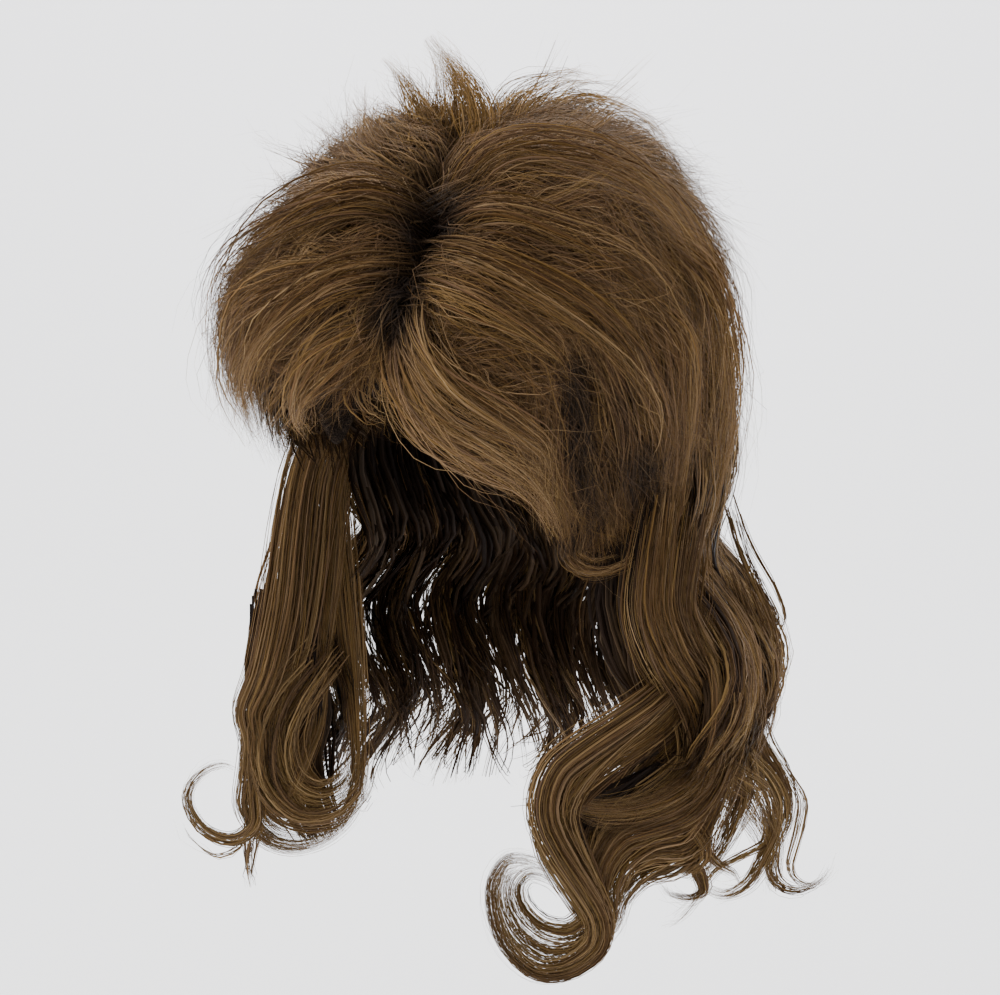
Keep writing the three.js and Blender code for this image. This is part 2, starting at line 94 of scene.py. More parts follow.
# Height of the outside of the hair over the head, in millimetres, at a turn and slope
LIFTS = [
    (0, 0, 37), (45, 20, 39), (90, 25, 42), (130, 25, 45), (180, 25, 48), (-90, 25, 45), (-45, 20, 43),
    (4, 34, 37), (4, 46, 34), (4, 58, 28), (4, 72, 20), (0, 82, 14), (25, 36, 26), (22, 47, 21),
    (20, 58, 17), (20, 68, 12), (40, 44, 36), (38, 60, 29), (36, 72, 26), (28, 78, 13), (44, 89, 16),
    (46, 76, 30), (58, 60, 36), (55, 82, 28), (66, 84, 13), (69, 92, 9), (76, 86, 24), (64, 100, 11),
    (80, 48, 46), (82, 70, 38), (90, 90, 28), (90, 112, 14), (120, 55, 41), (120, 78, 33), (180, 50, 44),
    (180, 75, 32), (150, 95, 22), (-24, 48, 38), (-16, 66, 31), (-14, 84, 20), (-34, 80, 34), (-44, 94, 26),
    (-50, 66, 42), (-66, 92, 20), (-80, 50, 44), (-90, 72, 36), (-80, 104, 12), (-120, 60, 42),
    (-150, 95, 22),
]

# Slope where the short hair ends, at each turn from the back on one side to the back on the other
HEM = [
    (-180, 96), (-110, 100), (-84, 106), (-70, 104), (-56, 98), (-44, 94), (-30, 92), (-12, 87), (0, 83),
    (10, 76), (18, 72), (23, 72), (28, 80), (34, 87), (44, 92), (54, 97), (62, 104), (68, 110), (80, 115),
    (96, 116), (110, 108), (180, 96),
]

# Where each region of short hair has its roots, in degrees, how long it is and how far its tips stand off,
# in millimetres, and how many wisps it has
REGION_COLUMNS = ("turns", "slopes", "length", "flick", "wisps")
REGIONS = {
    "crown_top": ((-180, 180), (0, 30), (60, 105), 16, 360),
    "crown_back": ((58, 302), (26, 68), (70, 125), 7, 330),
    "crown_fluff": ((-180, 180), (2, 38), (24, 52), 20, 150),
    "fringe_left": ((16, 74), (20, 84), (65, 130), -6, 380),
    "fringe_right": ((-72, 28), (20, 84), (65, 125), -6, 370),
    "hairline": ((-6, 64), (50, 84), (36, 70), -3, 140),
    "side_left": ((66, 114), (70, 98), (45, 80), 0, 130),
    "side_right": ((-114, -62), (76, 98), (40, 70), 2, 90),
}

# Regions that are drawn in with another section's piece
SHARED = {"crown_fluff": "crown_top", "hairline": "fringe_right"}

# Fans of locks, as the solids have them, but wider at the back, where the two sides meet. A pair runs from
# the first lock of a fan to the last. Shares are of the sizes above. wisps is how many a fan is drawn with.
FAN_VALUES = (
    "root_turn root_slope end_turn end_slope puff stand fall hang_turn hang wave sway swell length lag "
    "curl bend toward tighten width thick"
).split()
FAN_COLUMNS = ["section", "form", "count", "wisps", *FAN_VALUES]
FANS = [
    ("tail_left", "curtain", 6, 150, (102, 178), (72, 70), (100, 178), (108, 108), (0.5, 0.5),
     (0.38, 0.38), (0.68, 0.86), (98, 179), (0.98, 1.02), 1, 0.8, 1, 1, 1.25, 1.2, (60, 80), (-60, 0), 0.5,
     1, 0.9),
    ("tail_left", "locks", 5, 80, (104, 175), (84, 84), (102, 174), (108, 108), (0.3, 0.3), (0.34, 0.34),
     (0.66, 0.9), (96, 175), (0.98, 1.06), 1, 0.8, 1, 1, 1.25, (0.9, 1), (110, 160), (-60, 10), 0.5, 0.8,
     0.8),
    ("tail_right", "curtain", 6, 150, (-102, -178), (72, 70), (-100, -178), (108, 108), (0.5, 0.5),
     (0.38, 0.38), (0.92, 0.86), (-98, -179), (0.98, 1.02), 1, -0.8, 1, 1, 1.25, 1.2, (60, 80), (60, 0),
     0.5, 1, 0.9),
    ("tail_right", "locks", 5, 90, (-104, -175), (84, 84), (-102, -174), (108, 108), (0.3, 0.3),
     (0.34, 0.34), (0.98, 0.9), (-94, -175), (0.94, 1.06), 1, -0.8, 1, 1, 1.25, (0.9, 1), (110, 160),
     (80, -10), 0.5, 0.8, 0.8),
]
GIRTH = {"root": 0.6, "full": 0.3, "thin": 0.6, "tip": 0.16}

# Curls by section and name: width, wisps and route. A route is in millimetres from the top of the head:
# across to the camera's right, up, and toward the camera. Heights are as seen on an upright plane, this far
# toward the camera.
CURL_PLANE = {"tail_left": 75.0, "tail_right": -50.0, "crown_top": 0.0, "side_left": 60.0}
CURLS = {
    "tail_left": {
        "inner sweep": (8, 28, [
            (80, -116, 60), (75, -146, 72), (73, -172, 81), (80, -194, 79), (91, -213, 71), (96, -233, 68),
            (93, -250, 72), (78, -261, 84), (60, -265, 94), (44, -263, 100), (33, -254, 104)]),
        "second sweep": (8, 22, [
            (94, -120, 46), (89, -146, 60), (86, -170, 70), (94, -192, 66), (105, -212, 56),
            (109, -232, 52), (104, -250, 56), (90, -264, 68), (72, -270, 80), (54, -270, 92),
            (42, -264, 98)]),
        "arch fill": (10, 34, [
            (100, -176, 38), (99, -210, 46), (91, -232, 56), (78, -247, 64), (64, -260, 74),
            (53, -275, 84), (50, -290, 88), (56, -304, 88)]),
        "low fan": (5, 14, [
            (112, -205, 40), (116, -238, 34), (119, -262, 28), (114, -280, 30), (106, -296, 36),
            (94, -306, 42)]),
        "ear back": (12, 26, [
            (84, -100, 34), (84, -135, 36), (84, -168, 40), (88, -196, 44), (96, -222, 42), (98, -244, 40),
            (90, -262, 44), (84, -280, 48)]),
        "outer sweep and loop": (4.5, 26, [
            (98, -168, 54), (93, -190, 60), (84, -206, 68), (72, -217, 78), (58, -225, 89), (44, -234, 98),
            (32, -243, 103), (26, -256, 106), (26, -270, 107), (33, -286, 106), (43, -301, 104),
            (51, -316, 102), (50, -330, 102), (38, -340, 103), (24, -341, 104), (12, -331, 105),
            (5, -316, 105), (4, -300, 104), (11, -289, 102), (24, -291, 98), (34, -300, 92)]),
        "inner loop": (5, 17, [
            (96, -180, 56), (90, -200, 62), (78, -218, 74), (62, -230, 87), (47, -242, 97),
            (36, -256, 101), (33, -270, 102), (39, -288, 101), (46, -303, 99), (47, -315, 98),
            (38, -323, 98), (26, -321, 99), (17, -312, 99), (15, -302, 97), (21, -296, 94), (31, -300, 90),
            (37, -308, 88)]),
        "middle loop": (6, 22, [
            (98, -186, 54), (91, -208, 62), (78, -226, 74), (60, -238, 88), (43, -250, 97),
            (31, -264, 100), (30, -280, 101), (38, -298, 99), (50, -318, 98), (44, -331, 98),
            (30, -334, 99), (16, -325, 100), (9, -310, 100), (10, -297, 98), (20, -293, 95)]),
        "upper arch": (6, 28, [
            (100, -180, 36), (108, -225, 48), (102, -252, 58), (90, -267, 66), (74, -273, 76),
            (60, -278, 86), (52, -290, 92), (50, -305, 94), (53, -319, 94), (46, -331, 95), (32, -337, 97)]),
        "second arch": (6, 26, [
            (112, -215, 40), (108, -250, 50), (98, -272, 60), (88, -283, 68), (74, -284, 78),
            (62, -291, 86), (56, -304, 90), (56, -318, 91), (48, -328, 93), (35, -330, 95)]),
        "lower arch": (5, 20, [
            (104, -262, 55), (98, -284, 62), (86, -294, 70), (72, -298, 80), (62, -309, 86),
            (58, -322, 88), (50, -331, 90)]),
        "small curls": (2.5, 9, [
            (86, -268, 66), (96, -281, 66), (98, -292, 66), (91, -297, 68), (85, -291, 70)]),
        "right rope": (6, 20, [
            (112, -150, 28), (122, -172, 18), (129, -190, 12), (129, -208, 10), (126, -226, 12),
            (130, -242, 12), (138, -255, 10), (143, -268, 8), (143, -280, 8), (138, -292, 8),
            (136, -304, 8), (138, -317, 8)]),
        "right arch": (8, 28, [
            (104, -200, 44), (106, -230, 40), (104, -248, 38), (112, -257, 34), (122, -265, 26),
            (130, -278, 18), (135, -290, 12), (137, -304, 8), (139, -316, 6)]),
        "right ring": (3, 10, [
            (110, -225, 36), (118, -243, 30), (130, -255, 20), (138, -268, 14), (139, -282, 12),
            (133, -298, 14), (125, -311, 18), (114, -316, 22), (104, -312, 26), (97, -304, 30)]),
        "crossing lock": (0.8, 4, [
            (128, -262, 18), (134, -278, 14), (133, -290, 14), (121, -296, 20), (110, -301, 28),
            (103, -309, 34), (98, -318, 38), (90, -326, 42), (80, -328, 46)]),
        "thin ring": (2, 8, [
            (104, -255, 50), (104, -268, 50), (101, -279, 50), (102, -290, 48), (108, -298, 44),
            (116, -303, 40), (120, -310, 38)]),
        "thin hook": (2, 9, [
            (96, -262, 60), (92, -278, 62), (93, -290, 60), (99, -300, 56), (101, -309, 54),
            (95, -313, 54), (86, -311, 56), (80, -304, 60)]),
        "right tips": (2, 5, [
            (134, -270, 10), (138, -290, 8), (137, -305, 8), (142, -313, 8), (150, -315, 8),
            (159, -311, 8), (164, -303, 8)]),
        "right stray": (1, 2, [
            (126, -232, 8), (140, -250, 6), (150, -265, 4), (152, -275, 4), (149, -290, 4), (146, -302, 4),
            (149, -310, 4), (157, -313, 4), (165, -307, 4), (168, -296, 4)]),
        "loose bow": (3, 4, [
            (112, -120, 10), (120, -145, 10), (131, -165, 8), (138, -180, 6), (135, -190, 6),
            (131, -205, 8)]),
    },
    "side_left": {
        "ear curl": (2.5, 9, [
            (52, -100, 74), (47, -118, 74), (42, -132, 72), (37, -144, 71), (36, -152, 70), (41, -158, 70),
            (51, -160, 70), (62, -156, 70), (66, -150, 68)]),
        "inner ear curl": (2, 6, [
            (56, -104, 74), (53, -122, 73), (50, -134, 72), (45, -144, 71), (43, -150, 70), (49, -154, 70),
            (60, -151, 69)]),
    },
    "tail_right": {
        "outer stream": (6, 26, [
            (-52, -84, -62), (-73, -106, -64), (-88, -138, -60), (-94, -172, -55), (-98, -205, -52),
            (-103, -228, -50), (-108, -246, -48), (-115, -262, -46), (-113, -278, -46), (-116, -296, -46),
            (-118, -312, -46), (-110, -327, -48), (-96, -333, -50), (-80, -329, -52), (-68, -318, -54),
            (-62, -303, -56)]),
        "inner stream": (6, 24, [
            (-48, -84, -64), (-68, -108, -66), (-83, -140, -62), (-88, -180, -60), (-92, -220, -58),
            (-98, -245, -56), (-106, -265, -52), (-106, -285, -50), (-110, -302, -48), (-106, -318, -48),
            (-94, -324, -50), (-80, -320, -52)]),
        "neck side": (5, 20, [
            (-44, -86, -64), (-60, -112, -68), (-71, -152, -66), (-70, -200, -68), (-66, -250, -66),
            (-64, -280, -62), (-65, -302, -58), (-72, -320, -54), (-84, -328, -52)]),
        "ball": (5, 18, [
            (-50, -96, -64), (-70, -134, -66), (-80, -200, -64), (-84, -240, -62), (-86, -270, -58),
            (-92, -290, -50), (-96, -305, -47), (-88, -316, -47), (-74, -318, -48)]),
        "ball back": (13, 34, [
            (-70, -120, -78), (-84, -165, -80), (-92, -205, -84), (-98, -240, -86), (-98, -272, -84),
            (-94, -298, -78), (-86, -318, -72), (-80, -330, -66)]),
        "ball arcs": (8, 26, [
            (-84, -226, -60), (-104, -250, -52), (-112, -276, -48), (-108, -300, -46), (-94, -315, -46),
            (-76, -315, -48), (-62, -302, -52), (-60, -284, -56)]),
        "ball middle": (7, 22, [
            (-70, -230, -62), (-88, -254, -56), (-97, -276, -52), (-94, -295, -50), (-82, -303, -50),
            (-70, -296, -54), (-68, -282, -58)]),
        "left ring": (2.2, 8, [
            (-106, -250, -46), (-114, -275, -44), (-114, -300, -44), (-113, -318, -44), (-120, -327, -42),
            (-130, -328, -42), (-140, -322, -42), (-146, -311, -42), (-145, -301, -42), (-138, -293, -42),
            (-129, -290, -42), (-122, -293, -42)]),
        "faint ring": (1, 1, [
            (-116, -322, -44), (-122, -333, -42), (-134, -337, -42), (-146, -328, -42), (-150, -316, -42)]),
        "low tips": (2, 4, [
            (-112, -310, -46), (-116, -332, -46), (-117, -346, -46), (-116, -355, -46)]),
    },
}

# Painted shade: near-black hair put behind the curls where shade falls between them, laid out the same way
PAINTED_SHADE_CURLS = {
    "tail_left": {
        "shade behind the ear": (11, 30, [
            (68, -112, 54), (68, -140, 56), (66, -170, 60), (68, -196, 62), (76, -218, 62), (74, -240, 62)]),
        "shade in the arch": (9, 24, [
            (100, -190, 30), (98, -220, 36), (88, -244, 44), (76, -262, 52), (74, -278, 56),
            (84, -290, 54)]),
        "shade in the sweep": (8, 22, [
            (84, -250, 66), (62, -264, 78), (48, -272, 82), (42, -284, 82), (50, -296, 82), (62, -300, 78)]),
    },
    "tail_right": {
        "shade in the ball": (15, 44, [
            (-96, -200, -66), (-98, -240, -68), (-98, -275, -68), (-93, -302, -64), (-84, -322, -60),
            (-80, -330, -60)]),
    },
}

# Locks that stand out in the short hair, by section and name: width, wisps, how much lighter they are, and a
# route over the head, of turn, slope and height in millimetres
ACCENTS = {
    "fringe_left": {
        "hem roll": (6, 24, 0.4, [
            (22, 56, 6), (23, 68, 14), (27, 77, 17), (34, 85, 18), (44, 91, 19), (54, 96, 17),
            (62, 103, 15), (67, 110, 13)]),
        "upper roll": (8, 20, 0, [
            (24, 52, 6), (28, 65, 24), (36, 75, 29), (46, 81, 29), (55, 87, 25), (61, 93, 16),
            (64, 100, 10)]),
        "ridge": (9, 18, 0.05, [
            (24, 42, 6), (42, 51, 34), (60, 60, 39), (73, 70, 37), (82, 81, 32), (87, 93, 26),
            (91, 105, 20)]),
        "middle sweep": (9, 16, 0.1, [
            (23, 48, 6), (37, 57, 31), (50, 64, 34), (60, 70, 30), (65, 77, 20)]),
        "hollow tuft": (4, 16, 0.1, [
            (60, 68, 24), (66, 78, 20), (70, 89, 15), (74, 100, 14), (80, 110, 13)]),
        "ear tuft": (5, 15, 0.15, [
            (68, 66, 34), (74, 78, 28), (79, 90, 22), (82, 103, 18), (87, 114, 16)]),
        "back ear tuft": (6, 15, 0.12, [
            (76, 70, 38), (82, 82, 32), (88, 95, 25), (93, 110, 21)]),
        "forehead hairs": (3.5, 4, 0.1, [
            (21, 58, 12), (17, 67, 11), (17, 74, 9), (22, 80, 7), (31, 84, 6)]),
    },
    "fringe_right": {
        "short forehead hairs": (3.5, 4, 0.1, [
            (19, 58, 12), (13, 67, 11), (11, 76, 9), (14, 82, 7), (19, 84, 6)]),
        "long wave": (9, 18, 0.15, [
            (20, 44, 6), (5, 55, 33), (-8, 67, 36), (-18, 79, 31), (-25, 90, 22)]),
        "low wave": (7, 14, 0.25, [
            (18, 57, 6), (7, 69, 24), (-2, 78, 22), (-8, 86, 15), (-6, 91, 10)]),
        "high wave": (10, 18, 0.1, [
            (22, 32, 6), (2, 38, 38), (-20, 48, 42), (-36, 60, 42), (-44, 74, 38), (-48, 88, 28)]),
        "wing edge": (9, 16, 0.2, [
            (12, 46, 6), (-10, 60, 37), (-24, 74, 36), (-33, 87, 28), (-33, 96, 18)]),
    },
    "crown_top": {
        "crown sweep": (11, 18, 0.15, [
            (28, 26, 6), (52, 28, 42), (76, 33, 47), (92, 44, 49), (100, 58, 46), (104, 74, 39)]),
        "crown fall": (10, 16, 0.05, [
            (26, 36, 6), (46, 41, 38), (66, 48, 42), (80, 57, 44), (90, 70, 40), (95, 86, 33)]),
    },
    "crown_back": {
        "side fall": (9, 24, 0.2, [
            (92, 40, 20), (99, 58, 46), (104, 78, 40), (107, 96, 34), (110, 116, 30)]),
        "front side fall": (8, 22, 0.02, [
            (80, 50, 20), (88, 68, 40), (92, 84, 34), (95, 100, 27), (98, 116, 24)]),
    },
}

# How far strands turn round their length, in radians, and the points along a centre line
STRAND_LEAN = 0.32
LONG_FINE = 110
LAID_FINE = 60

# How each kind of hair is drawn: strands to a wisp, points along each or millimetres between them, how far
# they turn round their length, ribbon width, width of a wisp, how far strands wander, how deep they lie
SHORT_COLUMNS = ("kind", "each", "points", "width", "spread", "stray", "sink")
SHORT_LAYERS = [
    ("fine", 11, 7, 0.36, 7.5, 6.0, 0.0),
    ("fly", 4, 8, 0.26, 11.0, 11.0, -0.06),
    ("lock", 3, 7, 1.2, 6.0, 2.2, 0.12),
    ("under", 2, 7, 4.0, 6.0, 0.8, 0.5),
]
LONG_LAYERS = [
    ("fine", 5, 22, 0.36, 6.5, 2.4, 0.0),
    ("lock", 2, 22, 1.4, 5.0, 1.0, 0.5),
    ("under", 3, 18, 2.8, 7.0, 1.2, 5.0),
]
ACCENT_LAYERS = [
    ("fine", 6, 15, 0.34, 7.0, 7.0, 0.0),
    ("lock", 1, 14, 1.1, 6.0, 3.0, 0.5),
]
CURL_COLUMNS = ("kind", "each", "step", "lean", "width", "spread", "stray", "sink")
CURL_LAYERS = [
    ("fine", 7, 9.0, 0.8, 0.36, 4.5, 2.0, 0.0),
    ("lock", 1, 9.0, 0.6, 1.0, 4.0, 0.8, 0.5),
    ("under", 5, 11.0, STRAND_LEAN, 1.8, 5.0, 1.5, 0.0),
]
TUFT_LAYER = {"each": 8, "points": 14, "lean": 0.8, "width": 0.36, "spread": 3.5, "stray": 3.5, "sink": 0}

# How much lighter tufts are painted, as painted light shining through them from behind, and how far a
# ribbon's edges turn away, in degrees
TUFT_PAINTED_BACKLIGHT = (0.8, 2.2)
NORMAL_LEAN = 36.0
CURL_TAPER = 0.6

# The parting: its turn, how far roots stray across it in degrees, and the strip under it in millimetres
PARTING_TURN = 22.0
PARTING_STRAY = 8.0
PARTING_STRIP = {"slopes": (14, 56), "width": 12.0, "thick": 1.5}

# Lines of painted shade in the short hair: along the parting, where the dark roots also show, and in the
# hollow between the front wing and the side hair. From and to a turn, slope and height, reach in millimetres,
# strength
SHADES = [
    ((26, 33, 24), (24, 38, 22), 15, 1.0),
    ((24, 38, 20), (20, 54, 14), 8, 0.7),
    ((20, 54, 14), (19, 61, 13), 16, 1.0),
    ((65, 73, 23), (69, 92, 15), 12, 1.0),
    ((69, 92, 14), (76, 108, 14), 12, 0.9),
    ((77, 80, 26), (84, 104, 18), 9, 0.75),
    ((84, 96, 22), (93, 112, 18), 18, 0.95),
]

# Loose tufts that stand up from the crown and arch over: width, wisps, how far they narrow, and a route laid
# out as that of a curl
TUFTS = {
    "tall leaf": (13, 30, 0.85, [
        (-6, 8, 0), (-8, 26, 4), (-10, 40, 6), (-14, 52, 7), (-19, 62, 7), (-26, 72, 7)]),
    "small leaf": (7, 14, 0.85, [
        (-18, 8, 0), (-24, 28, 4), (-31, 42, 5), (-38, 54, 5), (-46, 63, 5)]),
    "left fluff": (10, 10, 0.6, [
        (-28, 4, 0), (-40, 22, 0), (-49, 34, 0), (-58, 42, 0)]),
    "high arch": (8, 8, 0.6, [
        (2, 6, -10), (5, 22, -10), (9, 36, -10), (15, 47, -12), (28, 54, -14), (42, 57, -16),
        (54, 52, -18)]),
    "wide arch": (10, 8, 0.6, [
        (10, 8, -20), (20, 26, -22), (31, 39, -24), (45, 45, -26), (60, 39, -30), (74, 31, -34),
        (84, 18, -38), (91, 4, -40)]),
    "middle arch": (9, 8, 0.6, [
        (20, 8, -16), (26, 30, -20), (36, 42, -24), (50, 48, -28), (64, 46, -32), (78, 36, -36),
        (88, 22, -40)]),
    "low arch": (9, 8, 0.6, [
        (40, 8, -24), (52, 26, -30), (66, 34, -34), (80, 28, -38), (90, 14, -42), (95, 0, -44)]),
}

# Colours of the hair at its root, along its middle and at its tip, and how much it shines
HAIR_LOOKS = {
    # The short hair's near-black root colour also serves as its painted shade
    "hair_short": ((0.014, 0.009, 0.006), (0.112, 0.065, 0.026), (0.192, 0.118, 0.05), 0.07),
    "hair_long": ((0.107, 0.064, 0.026), (0.124, 0.075, 0.03), (0.155, 0.097, 0.041), 0.07),
    # The under hair is near black as painted shade, for the shade deep in the hair and behind the curls
    "hair_painted_shade": ((0.014, 0.009, 0.006), (0.034, 0.02, 0.01), (0.06, 0.035, 0.016), 0.05),
}

HAIR_SLOTS = {
    "fringe_left": "hair_front",
    "fringe_right": "hair_front",
    "crown_top": "hair_crown",
    "crown_back": "hair_crown",
    "side_left": "hair_side",
    "side_right": "hair_side",
    "tail_left": "hair_length",
    "tail_right": "hair_length",
}


def unit(v):
    return v / np.maximum(np.linalg.norm(v, axis=-1, keepdims=True), 1e-9)


def smooth(x, low=0.0, high=1.0):
    t = np.clip((x - low) / (high - low), 0, 1)
    return t * t * (3 - 2 * t)


def heading(turn):
    t = np.radians(turn)
    return np.stack([np.sin(t), -np.cos(t), np.zeros_like(t)], -1)


def toward_point(turn, slope):
    t, s = np.radians(turn), np.radians(slope)
    return np.stack([np.sin(s) * np.sin(t), -np.sin(s) * np.cos(t), np.cos(s)], -1)


def over(d, height):
    """Point at a height over the head in a direction from its middle, and the surface normal there."""
    axes = np.where(
        d[..., 2:] > 0,
        [HEAD_HALF_WIDTH, HEAD_HALF_LENGTH, CROWN_HEIGHT],
        [HEAD_HALF_WIDTH, HEAD_HALF_LENGTH, NAPE_HEIGHT],
    )
    normal = unit(d / axes)
    return d * axes + normal * height[..., None] - [0, 0, CROWN_HEIGHT], normal


def head_point(turn, slope, out):
    """A point over the head at a turn and a slope in degrees, moved out along the surface."""
    return over(toward_point(turn, slope), np.asarray(out))


# Short hair, combed over the head

def nearness(d, table, sharp):
    places = toward_point(np.array([row[0] for row in table]), np.array([row[1] for row in table]))
    return np.exp(sharp * (d @ places.T - 1)), places


def flow(d, side):
    """Unit direction of the comb at each place, taken only from the same side of the parting."""
    weight, places = nearness(d, COMB, 60)
    rows = np.sign([row[0] - PARTING_TURN for row in COMB])
    weight = weight * (rows[None, :] * side[:, None] > 0)
    ends = toward_point(np.array([row[2] for row in COMB]), np.array([row[3] for row in COMB]))
    ways = unit(ends - places)
    way = weight @ ways
    return unit(way - d * (way * d).sum(-1, keepdims=True))


def lift(d):
    weight = nearness(d, LIFTS, 45)[0]
    return weight @ np.array([row[2] for row in LIFTS], float) / weight.sum(-1)


def turn_of(d):
    return np.degrees(np.arctan2(d[..., 0], -d[..., 1]))


def slope_of(d):
    return np.degrees(np.arccos(np.clip(d[..., 2], -1, 1)))


def table_at(table, turn):
    return np.interp(turn, [row[0] for row in table], [row[1] for row in table])


def scalp_roots(region, count, rng):
    """Directions of roots spread evenly over a region of the cap, short of its edge."""
    low, high = np.cos(np.radians(region["slopes"]))
    turn = rng.uniform(*region["turns"], count * 4)
    slope = np.degrees(np.arccos(rng.uniform(high, low, count * 4)))
    wrapped = np.abs((turn + 180) % 360 - 180)
    kept = slope < table_at(CAP_EDGE, wrapped) - 2
    return toward_point(turn[kept], slope[kept])[:count]


def painted_shade(place):
    """How deep in painted shade each point is: the strength on a line of SHADES, 0 away from them all."""
    near = 0
    for start, end, reach, strength in SHADES:
        a, b = (head_point(turn, slope, float(height))[0] for turn, slope, height in (start, end))
        along = np.clip(((place - a) @ (b - a)) / ((b - a) @ (b - a)), 0, 1)
        gap = np.linalg.norm(place - a - along[..., None] * (b - a), axis=-1)
        near = np.maximum(near, strength * (1 - smooth(gap, 0.2 * reach, 1.5 * reach)))
    return near


def combed(region, wisps, rng, steps=26):
    """Centre lines of wisps of short hair: directions over the head, and the length to each point."""
    d = scalp_roots(region, wisps, rng)
    stray = rng.normal(0, PARTING_STRAY, len(d)) * (1 - 0.7 * painted_shade(over(d, np.full(len(d), 20.0))[0]))
    stray = np.where(np.abs(turn_of(d)) < 90, stray, 0)
    side = np.sign(turn_of(d) - PARTING_TURN * (np.abs(turn_of(d)) < 90) + stray)
    length = rng.uniform(*region["length"], len(d))
    wander = rng.normal(0, 14, len(d))
    phase, pace = rng.uniform(0, 2 * math.pi, len(d)), rng.uniform(0.5, 1.3, len(d))
    sway = rng.normal(0, 34, len(d))
    path = [d]
    for i in range(steps - 1):
        way = flow(d, side)
        angle = np.radians(wander + sway * np.sin(phase + 2 * math.pi * pace * i / steps))[:, None]
        way = way * np.cos(angle) + np.cross(d, way) * np.sin(angle)
        reach = np.linalg.norm(over(d, lift(d) * 0.8)[0] + [0, 0, CROWN_HEIGHT], axis=-1)
        d = unit(d + way * (length / (steps - 1) / reach)[:, None])
        path.append(d)
    path = np.stack(path, 1)
    past = slope_of(path) - table_at(HEM, turn_of(path)) > rng.normal(0, 2.5, len(d))[:, None]
    stop = np.where(past.any(1), past.argmax(1), steps - 1)
    keep = np.clip(stop / (steps - 1), 0.2, 1)
    return path, keep


def short_strands(path, keep, region, layer, manner, rng):
    """Strands of each wisp: they leave the scalp, rise to its depth in the hair and gather to its tip."""
    wisps, steps, _ = path.shape
    own = np.repeat(np.arange(wisps), layer["each"])
    count = len(own)
    end = keep[own] * rng.uniform(0.8, 1.0, count)
    share = np.linspace(0, 1, layer["points"])[None, :] * end[:, None]
    at = share * (steps - 1)
    low = np.clip(at.astype(int), 0, steps - 2)
    part = (at - low)[..., None]
    rows = own[:, None]
    d = unit(path[rows, low] * (1 - part) + path[rows, low + 1] * part)
    s = np.linspace(0, 1, layer["points"])[None, :]
    depth = (manner["depth"][own] - layer["sink"] + rng.normal(0, 0.03, count))[:, None]
    rise = 1 - (1 - np.clip(s / 0.26, 0, 1)) ** 2
    height = 2.5 + (lift(d.reshape(-1, 3)).reshape(d.shape[:2]) * depth - 2.5) * rise
    flick = manner["flick"][own] + rng.normal(0, 0.2, count)
    height = height + region["flick"] * s**3 * flick[:, None] * (layer["kind"] != "under")
    place, normal = over(d, np.maximum(height, 2.0))
    along = unit(np.gradient(place, axis=1))
    across = unit(np.cross(along, normal))
    place = scattered(place, across, normal, s, layer, rng)
    # The value runs from root to tip along each strand. Painted shade lowers it toward the dark root colour
    # for strands deep in the hair and near a line of SHADES.
    outer = np.clip(height / (0.9 * lift(d.reshape(-1, 3)).reshape(d.shape[:2])), 0, 1)
    shade = painted_shade(place) * rng.uniform(0.45, 1.1, (count, 1)).clip(0, 1)
    light = (0.24 + 0.76 * s * (0.3 + 0.7 * outer**2)) * (1 - shade)
    return finished(place, across, normal, light, own, wisps, rng)


def scattered(place, across, out, s, layer, rng):
    """Strands moved off the middle of their wisp, wide at the root and close at the tip, with loose bows."""
    count = len(place)
    angle = rng.uniform(0, 2 * math.pi, count)[:, None] + s * rng.normal(0, 1.5, count)[:, None]
    radius = layer["spread"] * np.sqrt(rng.random(count))[:, None] * (1.1 - 0.85 * smooth(s, 0, 0.9))
    place = place + across * (radius * np.cos(angle))[..., None]
    place = place + out * (radius * 0.45 * np.sin(angle))[..., None]
    stray = layer["stray"] * np.abs(rng.standard_cauchy(count)).clip(0, 3.5)[:, None] * 0.35
    for axis, share in ((across, 1.0), (out, 0.6)):
        phase, pace = rng.uniform(0, 2 * math.pi, (count, 1)), rng.uniform(0.5, 1.8, (count, 1))
        bow = np.sin(phase + 2 * math.pi * pace * s) - np.sin(phase)
        kink = np.sin(3 * phase + 2 * math.pi * (pace + 2.2) * s)
        place = place + axis * (stray * share * s * (bow + 0.22 * kink))[..., None]
    return place


def finished(place, across, out, s, own, wisps, rng, lean=STRAND_LEAN):
    """Place, facing and tint of strands: each leans a little its own way round its length."""
    count = len(place)
    lean = rng.normal(0, lean, count)[:, None]
    facing = out * np.cos(lean)[..., None] + across * np.sin(lean)[..., None]
    # Two rows are drawn and only the first is used; the second moves every later draw along
    strand = rng.random((2, count))[0][:, None]
    wisp = rng.random(wisps)[own][:, None]
    tint = np.stack(np.broadcast_arrays(strand, s, wisp, place[..., 0])[:3], -1)
    return {"place": place, "facing": unit(facing), "tint": tint}


# Long hair: values of a fan for each of many wisps

